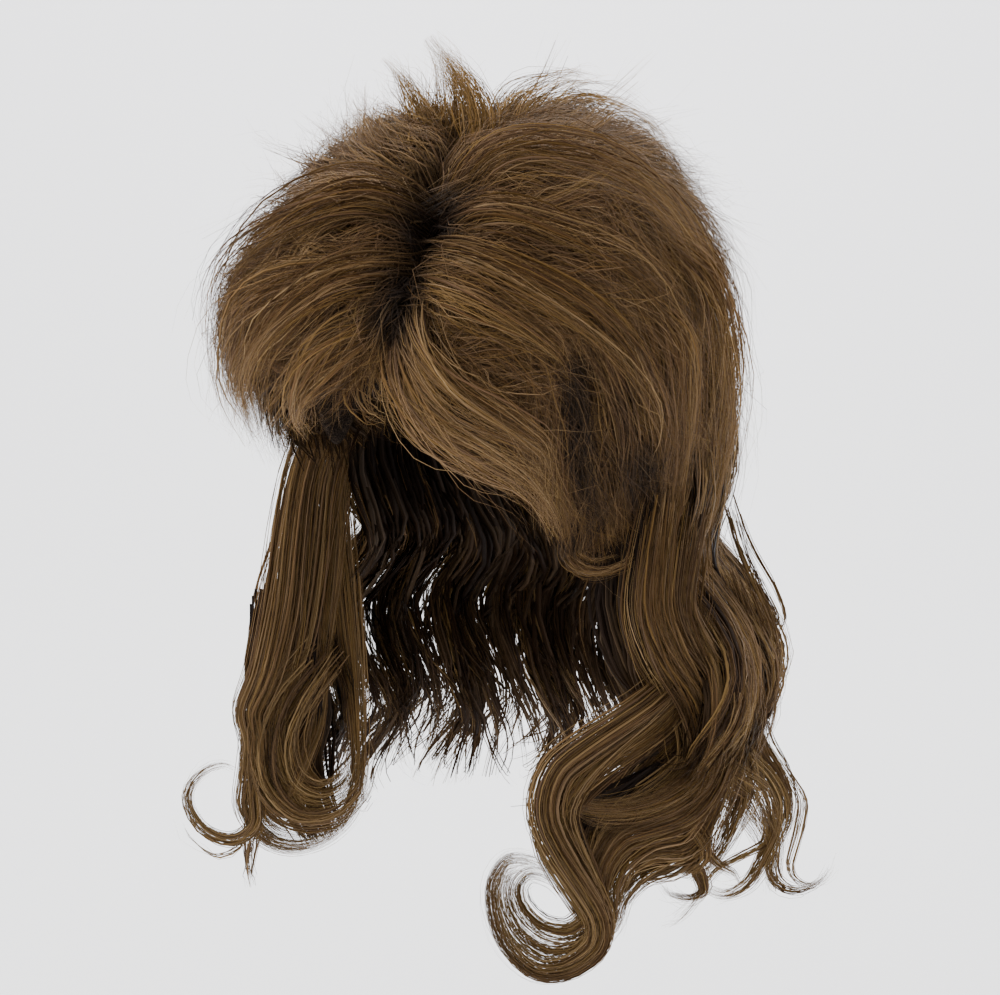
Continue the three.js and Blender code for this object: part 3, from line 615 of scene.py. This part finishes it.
def fan_values(row, wisps, rng):
    """One value for each wisp and column: a place across the fan, and small differences of its own."""
    if row["form"] == "curtain":
        t = (rng.permutation(wisps) + rng.random(wisps)) / wisps
        u = rng.uniform(-0.2, 0.2, wisps)
    else:
        t = rng.integers(0, row["count"], wisps) / max(1, row["count"] - 1)
        u = rng.uniform(-1, 1, wisps)
    v = 1 - 1.9 * rng.random(wisps) ** 1.8
    k = {"u": u, "v": v}
    for name in FAN_VALUES:
        value = row[name]
        pair = isinstance(value, tuple)
        k[name] = value[0] + (value[1] - value[0]) * t if pair else np.full(wisps, float(value))
    k["end_turn"] = k["end_turn"] + rng.normal(0, 2.0, wisps)
    k["end_slope"] = k["end_slope"] + rng.normal(0, 1.6, wisps)
    k["root_slope"] = k["root_slope"] - rng.uniform(0, 12, wisps)
    for name, spread in (("puff", 0.05), ("stand", 0.07), ("fall", 0.04), ("curl", 0.12), ("bend", 0.12)):
        k[name] = k[name] * rng.normal(1, spread, wisps)
    k["toward"] = k["toward"] + rng.normal(0, 14, wisps)
    k["wave"] = k["wave"] * rng.normal(0.75, 0.15, wisps)
    k["length"] = k["length"] * rng.normal(1, 0.04, wisps)
    k["phase"] = rng.normal(0, 0.3, wisps)
    k["hang_turn"] = k["hang_turn"] + rng.normal(0, 2.0, wisps)
    return k


# Centre lines

def over_head(k, steps=14):
    t = np.linspace(0, 1, steps)[None, :]
    col = {name: value[:, None] for name, value in k.items()}
    turn = col["root_turn"] + (col["end_turn"] - col["root_turn"]) * t
    slope = col["root_slope"] + (col["end_slope"] - col["root_slope"]) * t
    root = ROOT_OUT + col["thick"] * LOCK_THICKNESS * GIRTH["root"] / 2
    out = root * (1 - t) + col["stand"] * STAND * t * t + col["puff"] * PUFF * t * (1 - t)
    return head_point(turn, slope, out)[0]


def hanging(k, line, steps=18):
    t = np.linspace(0, 1, steps)[None, 1:, None]
    s = (t + smooth(t)) / 2
    to = heading(k["hang_turn"])[:, None, :2] * (k["hang"] * HANG_RADIUS)[:, None, None]
    start = line[:, -1:, :]
    flat = start[..., :2] * (1 - s) + to * s
    drop = start[..., 2:] - (k["fall"] * FALL)[:, None, None] * t
    return np.concatenate([line, np.concatenate([flat, drop], -1)], 1)


def relax(line, times):
    for _ in range(times):
        inner = (line[:, :-2] + 2 * line[:, 1:-1] + line[:, 2:]) / 4
        line = np.concatenate([line[:, :1], inner, line[:, -1:]], 1)
    return line


def resample(line, count, bend_weight=0.0):
    """Points along each line, evenly spaced or closer together where it bends."""
    step = np.diff(line, axis=1)
    size = np.linalg.norm(step, axis=-1)
    weight = size / LOCK_WIDTH
    if bend_weight:
        u = unit(step)
        turn = np.arccos(np.clip((u[:, 1:] * u[:, :-1]).sum(-1), -1, 1))
        weight[:, 1:] += bend_weight * turn
    along = np.concatenate([np.zeros((len(line), 1)), np.cumsum(weight, 1)], 1)
    along /= along[:, -1:]
    length = np.concatenate([np.zeros((len(line), 1)), np.cumsum(size, 1)], 1)
    length /= length[:, -1:]
    want = np.linspace(0, 1, count)
    made = np.empty((len(line), count, 3))
    share = np.empty((len(line), count))
    for i in range(len(line)):
        for c in range(3):
            made[i, :, c] = np.interp(want, along[i], line[i, :, c])
        share[i] = np.interp(want, along[i], length[i])
    return made, share


def waved(k, line):
    along = unit(np.gradient(line, axis=1))
    away = unit(line * [1, 1, 0])
    across = unit(np.cross(along, away))
    down = -WAVE_TOP - line[..., 2]
    size = (k["wave"] * WAVE_HEIGHT)[:, None] * np.clip(down / WAVE_RAMP, 0, 1)
    angle = 2 * math.pi * down / (k["length"] * WAVE_LENGTH)[:, None] + k["phase"][:, None]
    sideways = size * k["sway"][:, None] * np.sin(angle)
    outward = size * k["swell"][:, None] * np.sin(angle + k["lag"][:, None])
    return line + across * sideways[..., None] + away * outward[..., None]


def turned(v, axis, angle):
    c, s = np.cos(angle)[:, None], np.sin(angle)[:, None]
    return v * c + np.cross(axis, v) * s + axis * (axis * v).sum(-1, keepdims=True) * (1 - c)


def curled(k, line, steps=64):
    along = unit(line[:, -1] - line[:, -2])
    axis = unit(np.cross(along, heading(k["toward"])))
    step = np.radians(k["bend"]) / steps
    at = line[:, -1]
    made = []
    for i in range(steps):
        along = turned(along, axis, step)
        radius = k["curl"] * CURL_RADIUS * (1 - k["tighten"] * (i + 0.5) / steps)
        at = at + along * (radius * step)[:, None]
        made.append(at)
    return np.concatenate([line, np.stack(made, 1)], 1), axis


def guides(row, rng, fine=LONG_FINE):
    """Centre line of each wisp of a fan, with the directions across and away."""
    wisps = row["wisps"]
    k = fan_values(row, wisps, rng)
    line = hanging(k, over_head(k))
    line = relax(resample(line, 60)[0], 6)
    line, axis = curled(k, waved(k, line))
    line, share = resample(line, fine, 3.0)
    along = unit(np.gradient(line, axis=1))
    flat = head_point(k["root_turn"], k["root_slope"], np.zeros(wisps))[1]
    flats = []
    for i in range(fine):
        a = along[:, i]
        flat = unit(flat - a * (flat * a).sum(-1, keepdims=True))
        rounded = unit(np.cross(axis, a))
        rounded = np.where((rounded * flat).sum(-1, keepdims=True) < 0, -rounded, rounded)
        rate = np.clip((i / (fine - 1) - 0.45) / 0.3, 0, 1) * 0.12
        flat = unit(flat * (1 - rate) + rounded * rate)
        flats.append(flat)
    flat = np.stack(flats, 1)
    across = np.cross(along, flat)
    girth = GIRTH["root"] + (1 - GIRTH["root"]) * np.clip(share / GIRTH["full"], 0, 1)
    girth = girth * (1 - (1 - GIRTH["tip"]) * smooth(share, GIRTH["thin"], 1))
    half_width = (k["width"] * LOCK_WIDTH / 2)[:, None] * girth
    half_thick = (k["thick"] * LOCK_THICKNESS / 2)[:, None] * girth
    line = line + across * (k["u"][:, None] * half_width)[..., None] * 0.85
    line = line + flat * (k["v"][:, None] * half_thick)[..., None] * 0.85
    return line, across, flat


def seen_line(route, plane):
    """Points on a route that was laid out as the camera sees it, with heights read on an upright plane."""
    route = spline(np.array(route, float))
    rise = math.tan(math.radians(CAMERA_RISE))
    right, toward = heading(np.array(CAMERA_TURN + 90.0)), heading(np.array(CAMERA_TURN))
    line = route[:, :1] * right + route[:, 2:] * toward
    line[:, 2] = route[:, 1] + (route[:, 2] - plane) * rise
    return line


def laid_line(route):
    """Points on a route that was laid over the head."""
    route = spline(np.array(route, float))
    return over(toward_point(route[:, 0], route[:, 1]), route[:, 2])[0]


def curl_guides(line, flat, width, wisps, rng, taper=CURL_TAPER, fine=LONG_FINE):
    """Centre lines of the wisps of one curl, with the directions across and away. It faces along flat."""
    line, share = resample(np.repeat(line[None], wisps, 0), fine, 5.0)
    line = relax(line, 4)
    along = unit(np.gradient(line, axis=1))
    flat = np.broadcast_to(flat, (wisps, 3))
    flats = []
    for i in range(fine):
        a = along[:, i]
        flat = unit(flat - a * (flat * a).sum(-1, keepdims=True))
        flats.append(flat)
    flat = np.stack(flats, 1)
    across = np.cross(along, flat)
    girth = width * (0.8 + 0.5 * smooth(share, 0, 0.5)) * (1 - taper * smooth(share, 1 - taper, 1))
    turn, far = rng.uniform(0, 2 * math.pi, (wisps, 1)), np.sqrt(rng.random((wisps, 1)))
    roam = far * np.cos(turn) + 0.35 * np.sin(rng.uniform(0, 6.3, (wisps, 1)) + 5 * share)
    line = line + across * (roam * girth)[..., None]
    line = line + flat * (far * 0.7 * np.sin(turn) * girth)[..., None]
    return line, across, flat


def spline(points, steps=10):
    """Points on a smooth curve through a few given ones."""
    p = np.concatenate([[2 * points[0] - points[1]], points, [2 * points[-1] - points[-2]]])
    t = np.linspace(0, 1, steps, endpoint=False)[:, None]
    made = []
    for a, b, c, d in zip(p[:-3], p[1:-2], p[2:-1], p[3:]):
        square = 2 * a - 5 * b + 4 * c - d
        cube = 3 * b - a - 3 * c + d
        made.append(0.5 * (2 * b + (c - a) * t + square * t**2 + cube * t**3))
    return np.concatenate(made + [points[-1:]])


def long_strands(guide, layer, rng):
    """Strands round each wisp of long hair, each cut to its own length."""
    line, across, flat = guide
    wisps, fine, _ = line.shape
    own = np.repeat(np.arange(wisps), layer["each"])
    count = len(own)
    end = 1 - 0.24 * rng.random(count) ** 1.5
    start = rng.uniform(0, 0.05, count)
    s = np.linspace(0, 1, layer["points"])[None, :]
    at = (start[:, None] + (end - start)[:, None] * s) * (fine - 1)
    low = np.clip(at.astype(int), 0, fine - 2)
    part = (at - low)[..., None]
    rows = own[:, None]
    side = across[rows, low] * (1 - part) + across[rows, low + 1] * part
    out = flat[rows, low] * (1 - part) + flat[rows, low + 1] * part
    place = line[rows, low] * (1 - part) + line[rows, low + 1] * part
    place = scattered(place - out * layer["sink"], side, out, s, layer, rng)
    return finished(place, side, out, s, own, wisps, rng, layer.get("lean", STRAND_LEAN))


# Ribbon meshes

def add_object(name, data):
    added = bpy.data.objects.new(name, data)
    bpy.context.scene.collection.objects.link(added)
    return added


def ribbon_arrays(strands, width, first, total):
    """Vertices, normals, colours and quads of ribbons along strands, and a strip of the map for each."""
    place, facing, tint = strands["place"], strands["facing"], strands["tint"]
    count, points, _ = place.shape
    along = unit(np.gradient(place, axis=1))
    facing = unit(facing - along * (facing * along).sum(-1, keepdims=True))
    side = np.cross(along, facing)
    s = np.linspace(0, 1, points)
    profile = width * (0.75 + 0.25 * smooth(s, 0, 0.15)) * (1 - 0.85 * smooth(s, 0.35, 1))
    half = side * (profile / 2)[None, :, None]
    vertices = np.stack([place - half, place + half], 2)
    lean = math.radians(NORMAL_LEAN)
    normals = np.stack(
        [facing * math.cos(lean) - side * math.sin(lean), facing * math.cos(lean) + side * math.sin(lean)], 2
    )
    colours = np.repeat(tint[:, :, None, :], 2, 2)
    edge = np.broadcast_to(np.array([-0.5, 0.5]) * width, (count, points, 2))
    colours = np.concatenate([colours, edge[..., None]], -1)
    base = (np.arange(count)[:, None] * points + np.arange(points - 1)[None, :]) * 2
    quads = np.stack([base, base + 1, base + 3, base + 2], -1).reshape(-1, 4)
    columns = int(math.ceil(math.sqrt(total * 8)))
    number = first + np.arange(count)
    left = (number % columns) / columns
    rows = int(math.ceil(total / columns))
    low = (number // columns) / rows
    u = np.stack([left + 0.15 / columns, left + 0.85 / columns], -1)[:, None, :] + np.zeros((1, points, 1))
    v = low[:, None, None] + (0.02 + 0.96 * s)[None, :, None] / rows + np.zeros((1, 1, 2))
    return (
        vertices.reshape(-1, 3),
        normals.reshape(-1, 3),
        colours.reshape(-1, 4),
        quads,
        np.stack([u, v], -1).reshape(-1, 2),
    )


def ribbon_mesh(name, layers, material):
    """One object from several layers of strands, each a pair of strands and ribbon width in millimetres."""
    total = sum(len(strands["place"]) for strands, _ in layers)
    parts = []
    first = 0
    offset = 0
    for strands, width in layers:
        part = ribbon_arrays(strands, width, first, total)
        parts.append((part[0], part[1], part[2], part[3] + offset, part[4]))
        first += len(strands["place"])
        offset += len(part[0])
    vertices, normals, colours, quads, uv = (np.concatenate(group) for group in zip(*parts))
    mesh = bpy.data.meshes.new(name)
    mesh.vertices.add(len(vertices))
    mesh.vertices.foreach_set("co", (vertices * MM).ravel())
    mesh.loops.add(quads.size)
    mesh.loops.foreach_set("vertex_index", quads.ravel())
    mesh.polygons.add(len(quads))
    mesh.polygons.foreach_set("loop_start", np.arange(0, quads.size, 4))
    mesh.update(calc_edges=True)
    mesh.polygons.foreach_set("use_smooth", np.ones(len(quads), bool))
    map_layer = mesh.uv_layers.new(name="OFBake")
    map_layer.data.foreach_set("uv", uv[quads.ravel()].ravel())
    colour = mesh.attributes.new("hair", "FLOAT_COLOR", "POINT")
    colour.data.foreach_set("color", colours.ravel())
    mesh.normals_split_custom_set_from_vertices(normals)
    mesh.materials.append(material)
    return add_object(name, mesh)


# Materials

def new_material(name):
    material = bpy.data.materials.new(name)
    material.use_nodes = True
    shader = material.node_tree.nodes["Principled BSDF"]
    return material, material.node_tree, shader


def ramp(tree, source, stops):
    node = tree.nodes.new("ShaderNodeValToRGB")
    tree.links.new(source, node.inputs["Fac"])
    while len(node.color_ramp.elements) < len(stops):
        node.color_ramp.elements.new(0.5)
    for element, (at, colour) in zip(node.color_ramp.elements, stops):
        element.position = at
        element.color = (*colour, 1)
    return node.outputs["Color"]


def scalar(tree, kind, *values):
    node = tree.nodes.new("ShaderNodeMath")
    node.operation = kind
    for socket, value in zip(node.inputs, values):
        if hasattr(value, "is_output"):
            tree.links.new(value, socket)
        else:
            socket.default_value = value
    return node.outputs[0]


def hair_material(name):
    """Brown strands: dark at the root, lighter to the tip, each strand and wisp a little different. In the
    short hair the root-to-tip value also carries painted shade, and in the tufts the wisp value carries
    painted backlight.
    """
    root, middle, tip, shine = HAIR_LOOKS[name]
    material, tree, shader = new_material(name)
    attribute = tree.nodes.new("ShaderNodeAttribute")
    attribute.attribute_name = "hair"
    split = tree.nodes.new("ShaderNodeSeparateColor")
    tree.links.new(attribute.outputs["Color"], split.inputs["Color"])
    strand, along, wisp = split.outputs["Red"], split.outputs["Green"], split.outputs["Blue"]
    # The dark root end of this ramp is also the colour of the painted shade in the short hair
    colour = ramp(tree, along, [(0.0, root), (0.15, root), (0.55, middle), (0.8, middle), (1.0, tip)])
    place = tree.nodes.new("ShaderNodeCombineXYZ")
    own = scalar(tree, "MULTIPLY", strand, 90.0)
    across = scalar(tree, "MULTIPLY_ADD", attribute.outputs["Alpha"], 2.4, own)
    tree.links.new(across, place.inputs["X"])
    tree.links.new(scalar(tree, "MULTIPLY", along, 2.0), place.inputs["Y"])
    tree.links.new(scalar(tree, "MULTIPLY", wisp, 40.0), place.inputs["Z"])
    noise = tree.nodes.new("ShaderNodeTexNoise")
    noise.inputs["Scale"].default_value = 1.0
    noise.inputs["Detail"].default_value = 2.0
    tree.links.new(place.outputs["Vector"], noise.inputs["Vector"])
    streak = scalar(tree, "MULTIPLY_ADD", noise.outputs["Fac"], 3.0, -0.5)
    shade = scalar(tree, "MULTIPLY", scalar(tree, "MULTIPLY_ADD", strand, 0.5, 0.75), streak)
    # In the tufts the wisp value is raised above 1 as painted backlight
    shade = scalar(tree, "MULTIPLY", shade, scalar(tree, "MULTIPLY_ADD", wisp, 0.95, 0.5))
    tint = tree.nodes.new("ShaderNodeHueSaturation")
    tree.links.new(colour, tint.inputs["Color"])
    tree.links.new(shade, tint.inputs["Value"])
    hue = scalar(tree, "MULTIPLY_ADD", scalar(tree, "MINIMUM", wisp, 1.0), 0.018, 0.486)
    tree.links.new(hue, tint.inputs["Hue"])
    tree.links.new(scalar(tree, "MULTIPLY_ADD", strand, -0.2, 1.1), tint.inputs["Saturation"])
    tree.links.new(tint.outputs["Color"], shader.inputs["Base Color"])
    shader.inputs["Roughness"].default_value = 0.5
    shader.inputs["Specular IOR Level"].default_value = shine
    return material


def cap_material():
    """Dark elastic net: a fine crossed weave, a little uneven."""
    material, tree, shader = new_material("cap_net")
    coordinates = tree.nodes.new("ShaderNodeTexCoord")
    voronoi = tree.nodes.new("ShaderNodeTexVoronoi")
    voronoi.feature = "DISTANCE_TO_EDGE"
    voronoi.inputs["Scale"].default_value = 700
    tree.links.new(coordinates.outputs["Object"], voronoi.inputs["Vector"])
    net, gap = (0.055, 0.038, 0.027), (0.012, 0.008, 0.006)
    colour = ramp(tree, voronoi.outputs["Distance"], [(0.0, net), (0.12, gap)])
    tree.links.new(colour, shader.inputs["Base Color"])
    bump = tree.nodes.new("ShaderNodeBump")
    bump.inputs["Strength"].default_value = 0.6
    bump.inputs["Distance"].default_value = 0.0004
    bump.invert = True
    tree.links.new(voronoi.outputs["Distance"], bump.inputs["Height"])
    tree.links.new(bump.outputs["Normal"], shader.inputs["Normal"])
    shader.inputs["Roughness"].default_value = 0.9
    shader.inputs["Specular IOR Level"].default_value = 0.08
    return material


# Pieces

def layers(rows, columns):
    return [dict(zip(columns, row)) for row in rows]


def add_short_hair(section, drawn, rng):
    for name, row in REGIONS.items():
        if SHARED.get(name, name) != section:
            continue
        region = dict(zip(REGION_COLUMNS, row))
        path, keep = combed(region, region["wisps"], rng)
        wisps = len(path)
        manner = {"depth": 1.03 - 0.4 * rng.random(wisps) ** 1.3, "flick": rng.normal(0.25, 0.6, wisps)}
        for layer in layers(SHORT_LAYERS, SHORT_COLUMNS):
            strands = short_strands(path, keep, region, layer, manner, rng)
            drawn[layer["kind"]].append((strands, layer["width"]))


def add_tufts(drawn, rng):
    front = heading(np.array(CAMERA_TURN))
    for width, wisps, taper, route in TUFTS.values():
        line = seen_line(route, CURL_PLANE["crown_top"])
        guide = curl_guides(line, front, width, wisps, rng, taper, LAID_FINE)
        strands = long_strands(guide, TUFT_LAYER, rng)
        tint = strands["tint"]
        # Painted backlight: tufts are painted lighter, toward the tip colour and brighter in the wisp value,
        # for the light shining through them from behind
        tint[..., 1] = 0.55 + 0.45 * tint[..., 1]
        tint[..., 2] = rng.uniform(*TUFT_PAINTED_BACKLIGHT, (len(tint), 1))
        drawn["fine"].append((strands, TUFT_LAYER["width"]))


def add_fans(section, drawn, rng):
    for row in FANS:
        fan = dict(zip(FAN_COLUMNS, row))
        if fan["section"] != section:
            continue
        guide = guides(fan, rng)
        for layer in layers(LONG_LAYERS, SHORT_COLUMNS):
            drawn[layer["kind"]].append((long_strands(guide, layer, rng), layer["width"]))


def add_curls(section, table, kinds, drawn, rng):
    front = heading(np.array(CAMERA_TURN))
    for width, wisps, route in table.get(section, {}).values():
        line = seen_line(route, CURL_PLANE[section])
        length = np.linalg.norm(np.diff(line, axis=0), axis=1).sum()
        guide = curl_guides(line, front, width, wisps, rng)
        for layer in layers(CURL_LAYERS, CURL_COLUMNS):
            if layer["kind"] not in kinds:
                continue
            points = 3 + int(length / layer["step"])
            near = dict(layer, points=points, spread=min(layer["spread"], 1 + 1.3 * width))
            drawn[layer["kind"]].append((long_strands(guide, near, rng), layer["width"]))


def add_accents(section, drawn, rng):
    for width, wisps, light, route in ACCENTS.get(section, {}).values():
        line = laid_line(route)
        flat = unit(line[0] * [1, 1, 0] + [0, 0, 0.001])
        guide = curl_guides(line, flat, width, wisps, rng, fine=LAID_FINE)
        for layer in layers(ACCENT_LAYERS, SHORT_COLUMNS):
            strands = long_strands(guide, layer, rng)
            along = strands["tint"][..., 1]
            # Painted shade: accents near a line of SHADES are moved toward the dark root colour
            shade = painted_shade(strands["place"]) * 0.7
            strands["tint"][..., 1] = (0.3 + light + 0.6 * along).clip(0, 1) * (1 - shade)
            drawn[layer["kind"]].append((strands, layer["width"]))


def hair_pieces():
    """Each section of hair, and under it near-black hair as painted shade, standing in for the shade deep in
    the hair and behind the curls.
    """
    front = hair_material("hair_short")
    tail = hair_material("hair_long")
    under = hair_material("hair_painted_shade")
    for section, slot in HAIR_SLOTS.items():
        rng = np.random.default_rng(sum(map(ord, section)))
        drawn = {"fine": [], "fly": [], "lock": [], "under": []}
        add_short_hair(section, drawn, rng)
        if section == "crown_top":
            add_tufts(drawn, rng)
        add_fans(section, drawn, rng)
        add_curls(section, CURLS, ("fine", "lock"), drawn, rng)
        add_curls(section, PAINTED_SHADE_CURLS, ("under",), drawn, rng)
        add_accents(section, drawn, rng)
        material = tail if slot == "hair_length" else front
        piece = ribbon_mesh(section + "_hair", drawn["fine"] + drawn["fly"] + drawn["lock"], material)
        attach(piece, "root")
        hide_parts(section)
        base = ribbon_mesh(section + "_under", drawn["under"], under)
        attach(base, "root")


def tube(name, rings, material):
    """A closed shell through rings of points, with a flat face over its first and last ring."""
    count, columns, _ = rings.shape
    faces = []
    for j in range(count - 1):
        for i in range(columns):
            a = j * columns + i
            b = j * columns + (i + 1) % columns
            faces.append((a, a + columns, b + columns, b))
    faces.append(tuple(range(columns)))
    faces.append(tuple((count - 1) * columns + i for i in reversed(range(columns))))
    mesh = bpy.data.meshes.new(name)
    mesh.from_pydata([tuple(p) for p in (rings.reshape(-1, 3) * MM)], [], faces)
    mesh.materials.append(material)
    return add_object(name, mesh)


def cap_piece(material, columns=120, rows=32):
    """The cap: a thin net shell over the head down to its edge."""
    turn = np.arange(columns) * 360.0 / columns
    slope = smooth_edge(turn)[None, :] * np.linspace(0.02, 1, rows)[:, None]
    turn = np.broadcast_to(turn, slope.shape)
    outer, inner = (head_point(turn, slope, np.full(slope.shape, out))[0] for out in (CAP_WALL, 0.0))
    cap = tube("cap_net", np.concatenate([outer, inner[::-1]]), material)
    cap.data.polygons.foreach_set("use_smooth", [True] * len(cap.data.polygons))
    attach(cap, "root")
    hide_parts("cap")


def parting_piece(material, steps=16):
    """The strip under the parting: a flat bar laid over the cap, short of its edge."""
    slope = np.linspace(*PARTING_STRIP["slopes"], steps)
    across = heading(np.array(PARTING_TURN + 90.0)) * PARTING_STRIP["width"] / 2
    corners = []
    for side, out in ((-1, 0), (1, 0), (1, 1), (-1, 1)):
        height = np.full(steps, CAP_WALL + out * PARTING_STRIP["thick"])
        corners.append(head_point(np.full(steps, PARTING_TURN), slope, height)[0] + side * across)
    strip = tube("parting_base", np.stack(corners, 1), material)
    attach(strip, "root")
    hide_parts("parting_strip")


def smooth_edge(turn):
    """Slope of the cap's edge at each turn, eased between the rows of its table."""
    t = np.abs((turn + 180) % 360 - 180)
    turns = np.array([row[0] for row in CAP_EDGE], float)
    slopes = np.array([row[1] for row in CAP_EDGE], float)
    i = np.clip(np.searchsorted(turns, t) - 1, 0, len(turns) - 2)
    return slopes[i] + (slopes[i + 1] - slopes[i]) * smooth((t - turns[i]) / (turns[i + 1] - turns[i]))


# Stage

def stage():
    mesh = bpy.data.meshes.new("backdrop")
    floor, wall, bend, wide = -0.62, 2.2, 0.9, 6.0
    profile = [(-3.0, floor)]
    for i in range(13):
        a = math.pi / 2 * i / 12
        profile.append((wall - bend + bend * math.sin(a), floor + bend - bend * math.cos(a)))
    profile.append((wall, 4.0))
    turn = math.radians(CAMERA_TURN)
    back = (-math.sin(turn), math.cos(turn))
    right = (math.cos(turn), math.sin(turn))
    vertices = [
        (back[0] * d + right[0] * w, back[1] * d + right[1] * w, z) for d, z in profile for w in (-wide, wide)
    ]
    faces = [(2 * i, 2 * i + 1, 2 * i + 3, 2 * i + 2) for i in range(len(profile) - 1)]
    mesh.from_pydata(vertices, [], faces)
    mesh.polygons.foreach_set("use_smooth", [True] * len(faces))
    material, tree, shader = new_material("backdrop")
    coordinates = tree.nodes.new("ShaderNodeTexCoord")
    split = tree.nodes.new("ShaderNodeSeparateXYZ")
    tree.links.new(coordinates.outputs["Object"], split.inputs["Vector"])
    # Painted shade: the backdrop is darker toward the floor and lighter up the wall
    height = scalar(tree, "ADD", split.outputs["Z"], 0.62)
    colour = ramp(tree, height, [(0.0, (0.84, 0.84, 0.845)), (0.5, (0.95, 0.945, 0.965))])
    tree.links.new(colour, shader.inputs["Base Color"])
    shader.inputs["Roughness"].default_value = 0.9
    shader.inputs["Specular IOR Level"].default_value = 0.1
    mesh.materials.append(material)
    add_object("backdrop", mesh)


def area_light(name, turn, rise, distance, size, power, target, tint=(1, 1, 1)):
    data = bpy.data.lights.new(name, "AREA")
    data.shape = "DISK"
    data.size = size
    data.energy = power
    data.color = tint
    lamp = add_object(name, data)
    toward = direction(turn, rise)
    lamp.location = [t + d * distance for t, d in zip(target, toward)]
    lamp.rotation_euler = look(toward)


def direction(turn, rise):
    a, e = math.radians(turn), math.radians(rise)
    return (math.sin(a) * math.cos(e), -math.cos(a) * math.cos(e), math.sin(e))


def look(toward):
    return Vector(toward).to_track_quat("Z", "Y").to_euler()


def lights():
    centre = (0, 0.02, -0.15)
    area_light("key", -40, 45, 1.8, 1.3, 52, centre)
    area_light("fill", 128, 35, 2.0, 1.6, 24, centre)
    area_light("rim", 200, 50, 2.0, 1.2, 24, centre)
    behind = direction(CAMERA_TURN + 180, 0)
    area_light("wall", CAMERA_TURN, 50, 1.6, 1.5, 40, (behind[0] * 2.2, behind[1] * 2.2, 0.2))
    world = bpy.data.worlds.new("studio")
    world.use_nodes = True
    background = world.node_tree.nodes["Background"]
    background.inputs["Color"].default_value = (0.97, 0.975, 1.0, 1)
    background.inputs["Strength"].default_value = 1.12
    bpy.context.scene.world = world


def camera():
    back = np.array(direction(CAMERA_TURN, CAMERA_RISE))
    turn, rise = math.radians(CAMERA_TURN), math.radians(CAMERA_RISE)
    right = np.array([math.cos(turn), math.sin(turn), 0])
    up = np.array([-math.sin(turn) * math.sin(rise), math.cos(turn) * math.sin(rise), math.cos(rise)])
    pixel = VIEW_WIDTH / FRAME[0]
    target = right * (FRAME[0] / 2 - VERTEX_PIXEL[0]) * pixel - up * (FRAME[1] / 2 - VERTEX_PIXEL[1]) * pixel
    data = bpy.data.cameras.new("camera")
    data.sensor_width = 36
    data.lens = 36 * CAMERA_DISTANCE / VIEW_WIDTH
    data.clip_end = 20
    eye = bpy.data.objects.new("camera", data)
    eye.location = (target + back * CAMERA_DISTANCE) * MM
    eye.rotation_euler = look(back)
    bpy.context.scene.collection.objects.link(eye)
    bpy.context.scene.camera = eye


camera()
hair_pieces()
net = cap_material()
cap_piece(net)
parting_piece(net)
stage()
lights()
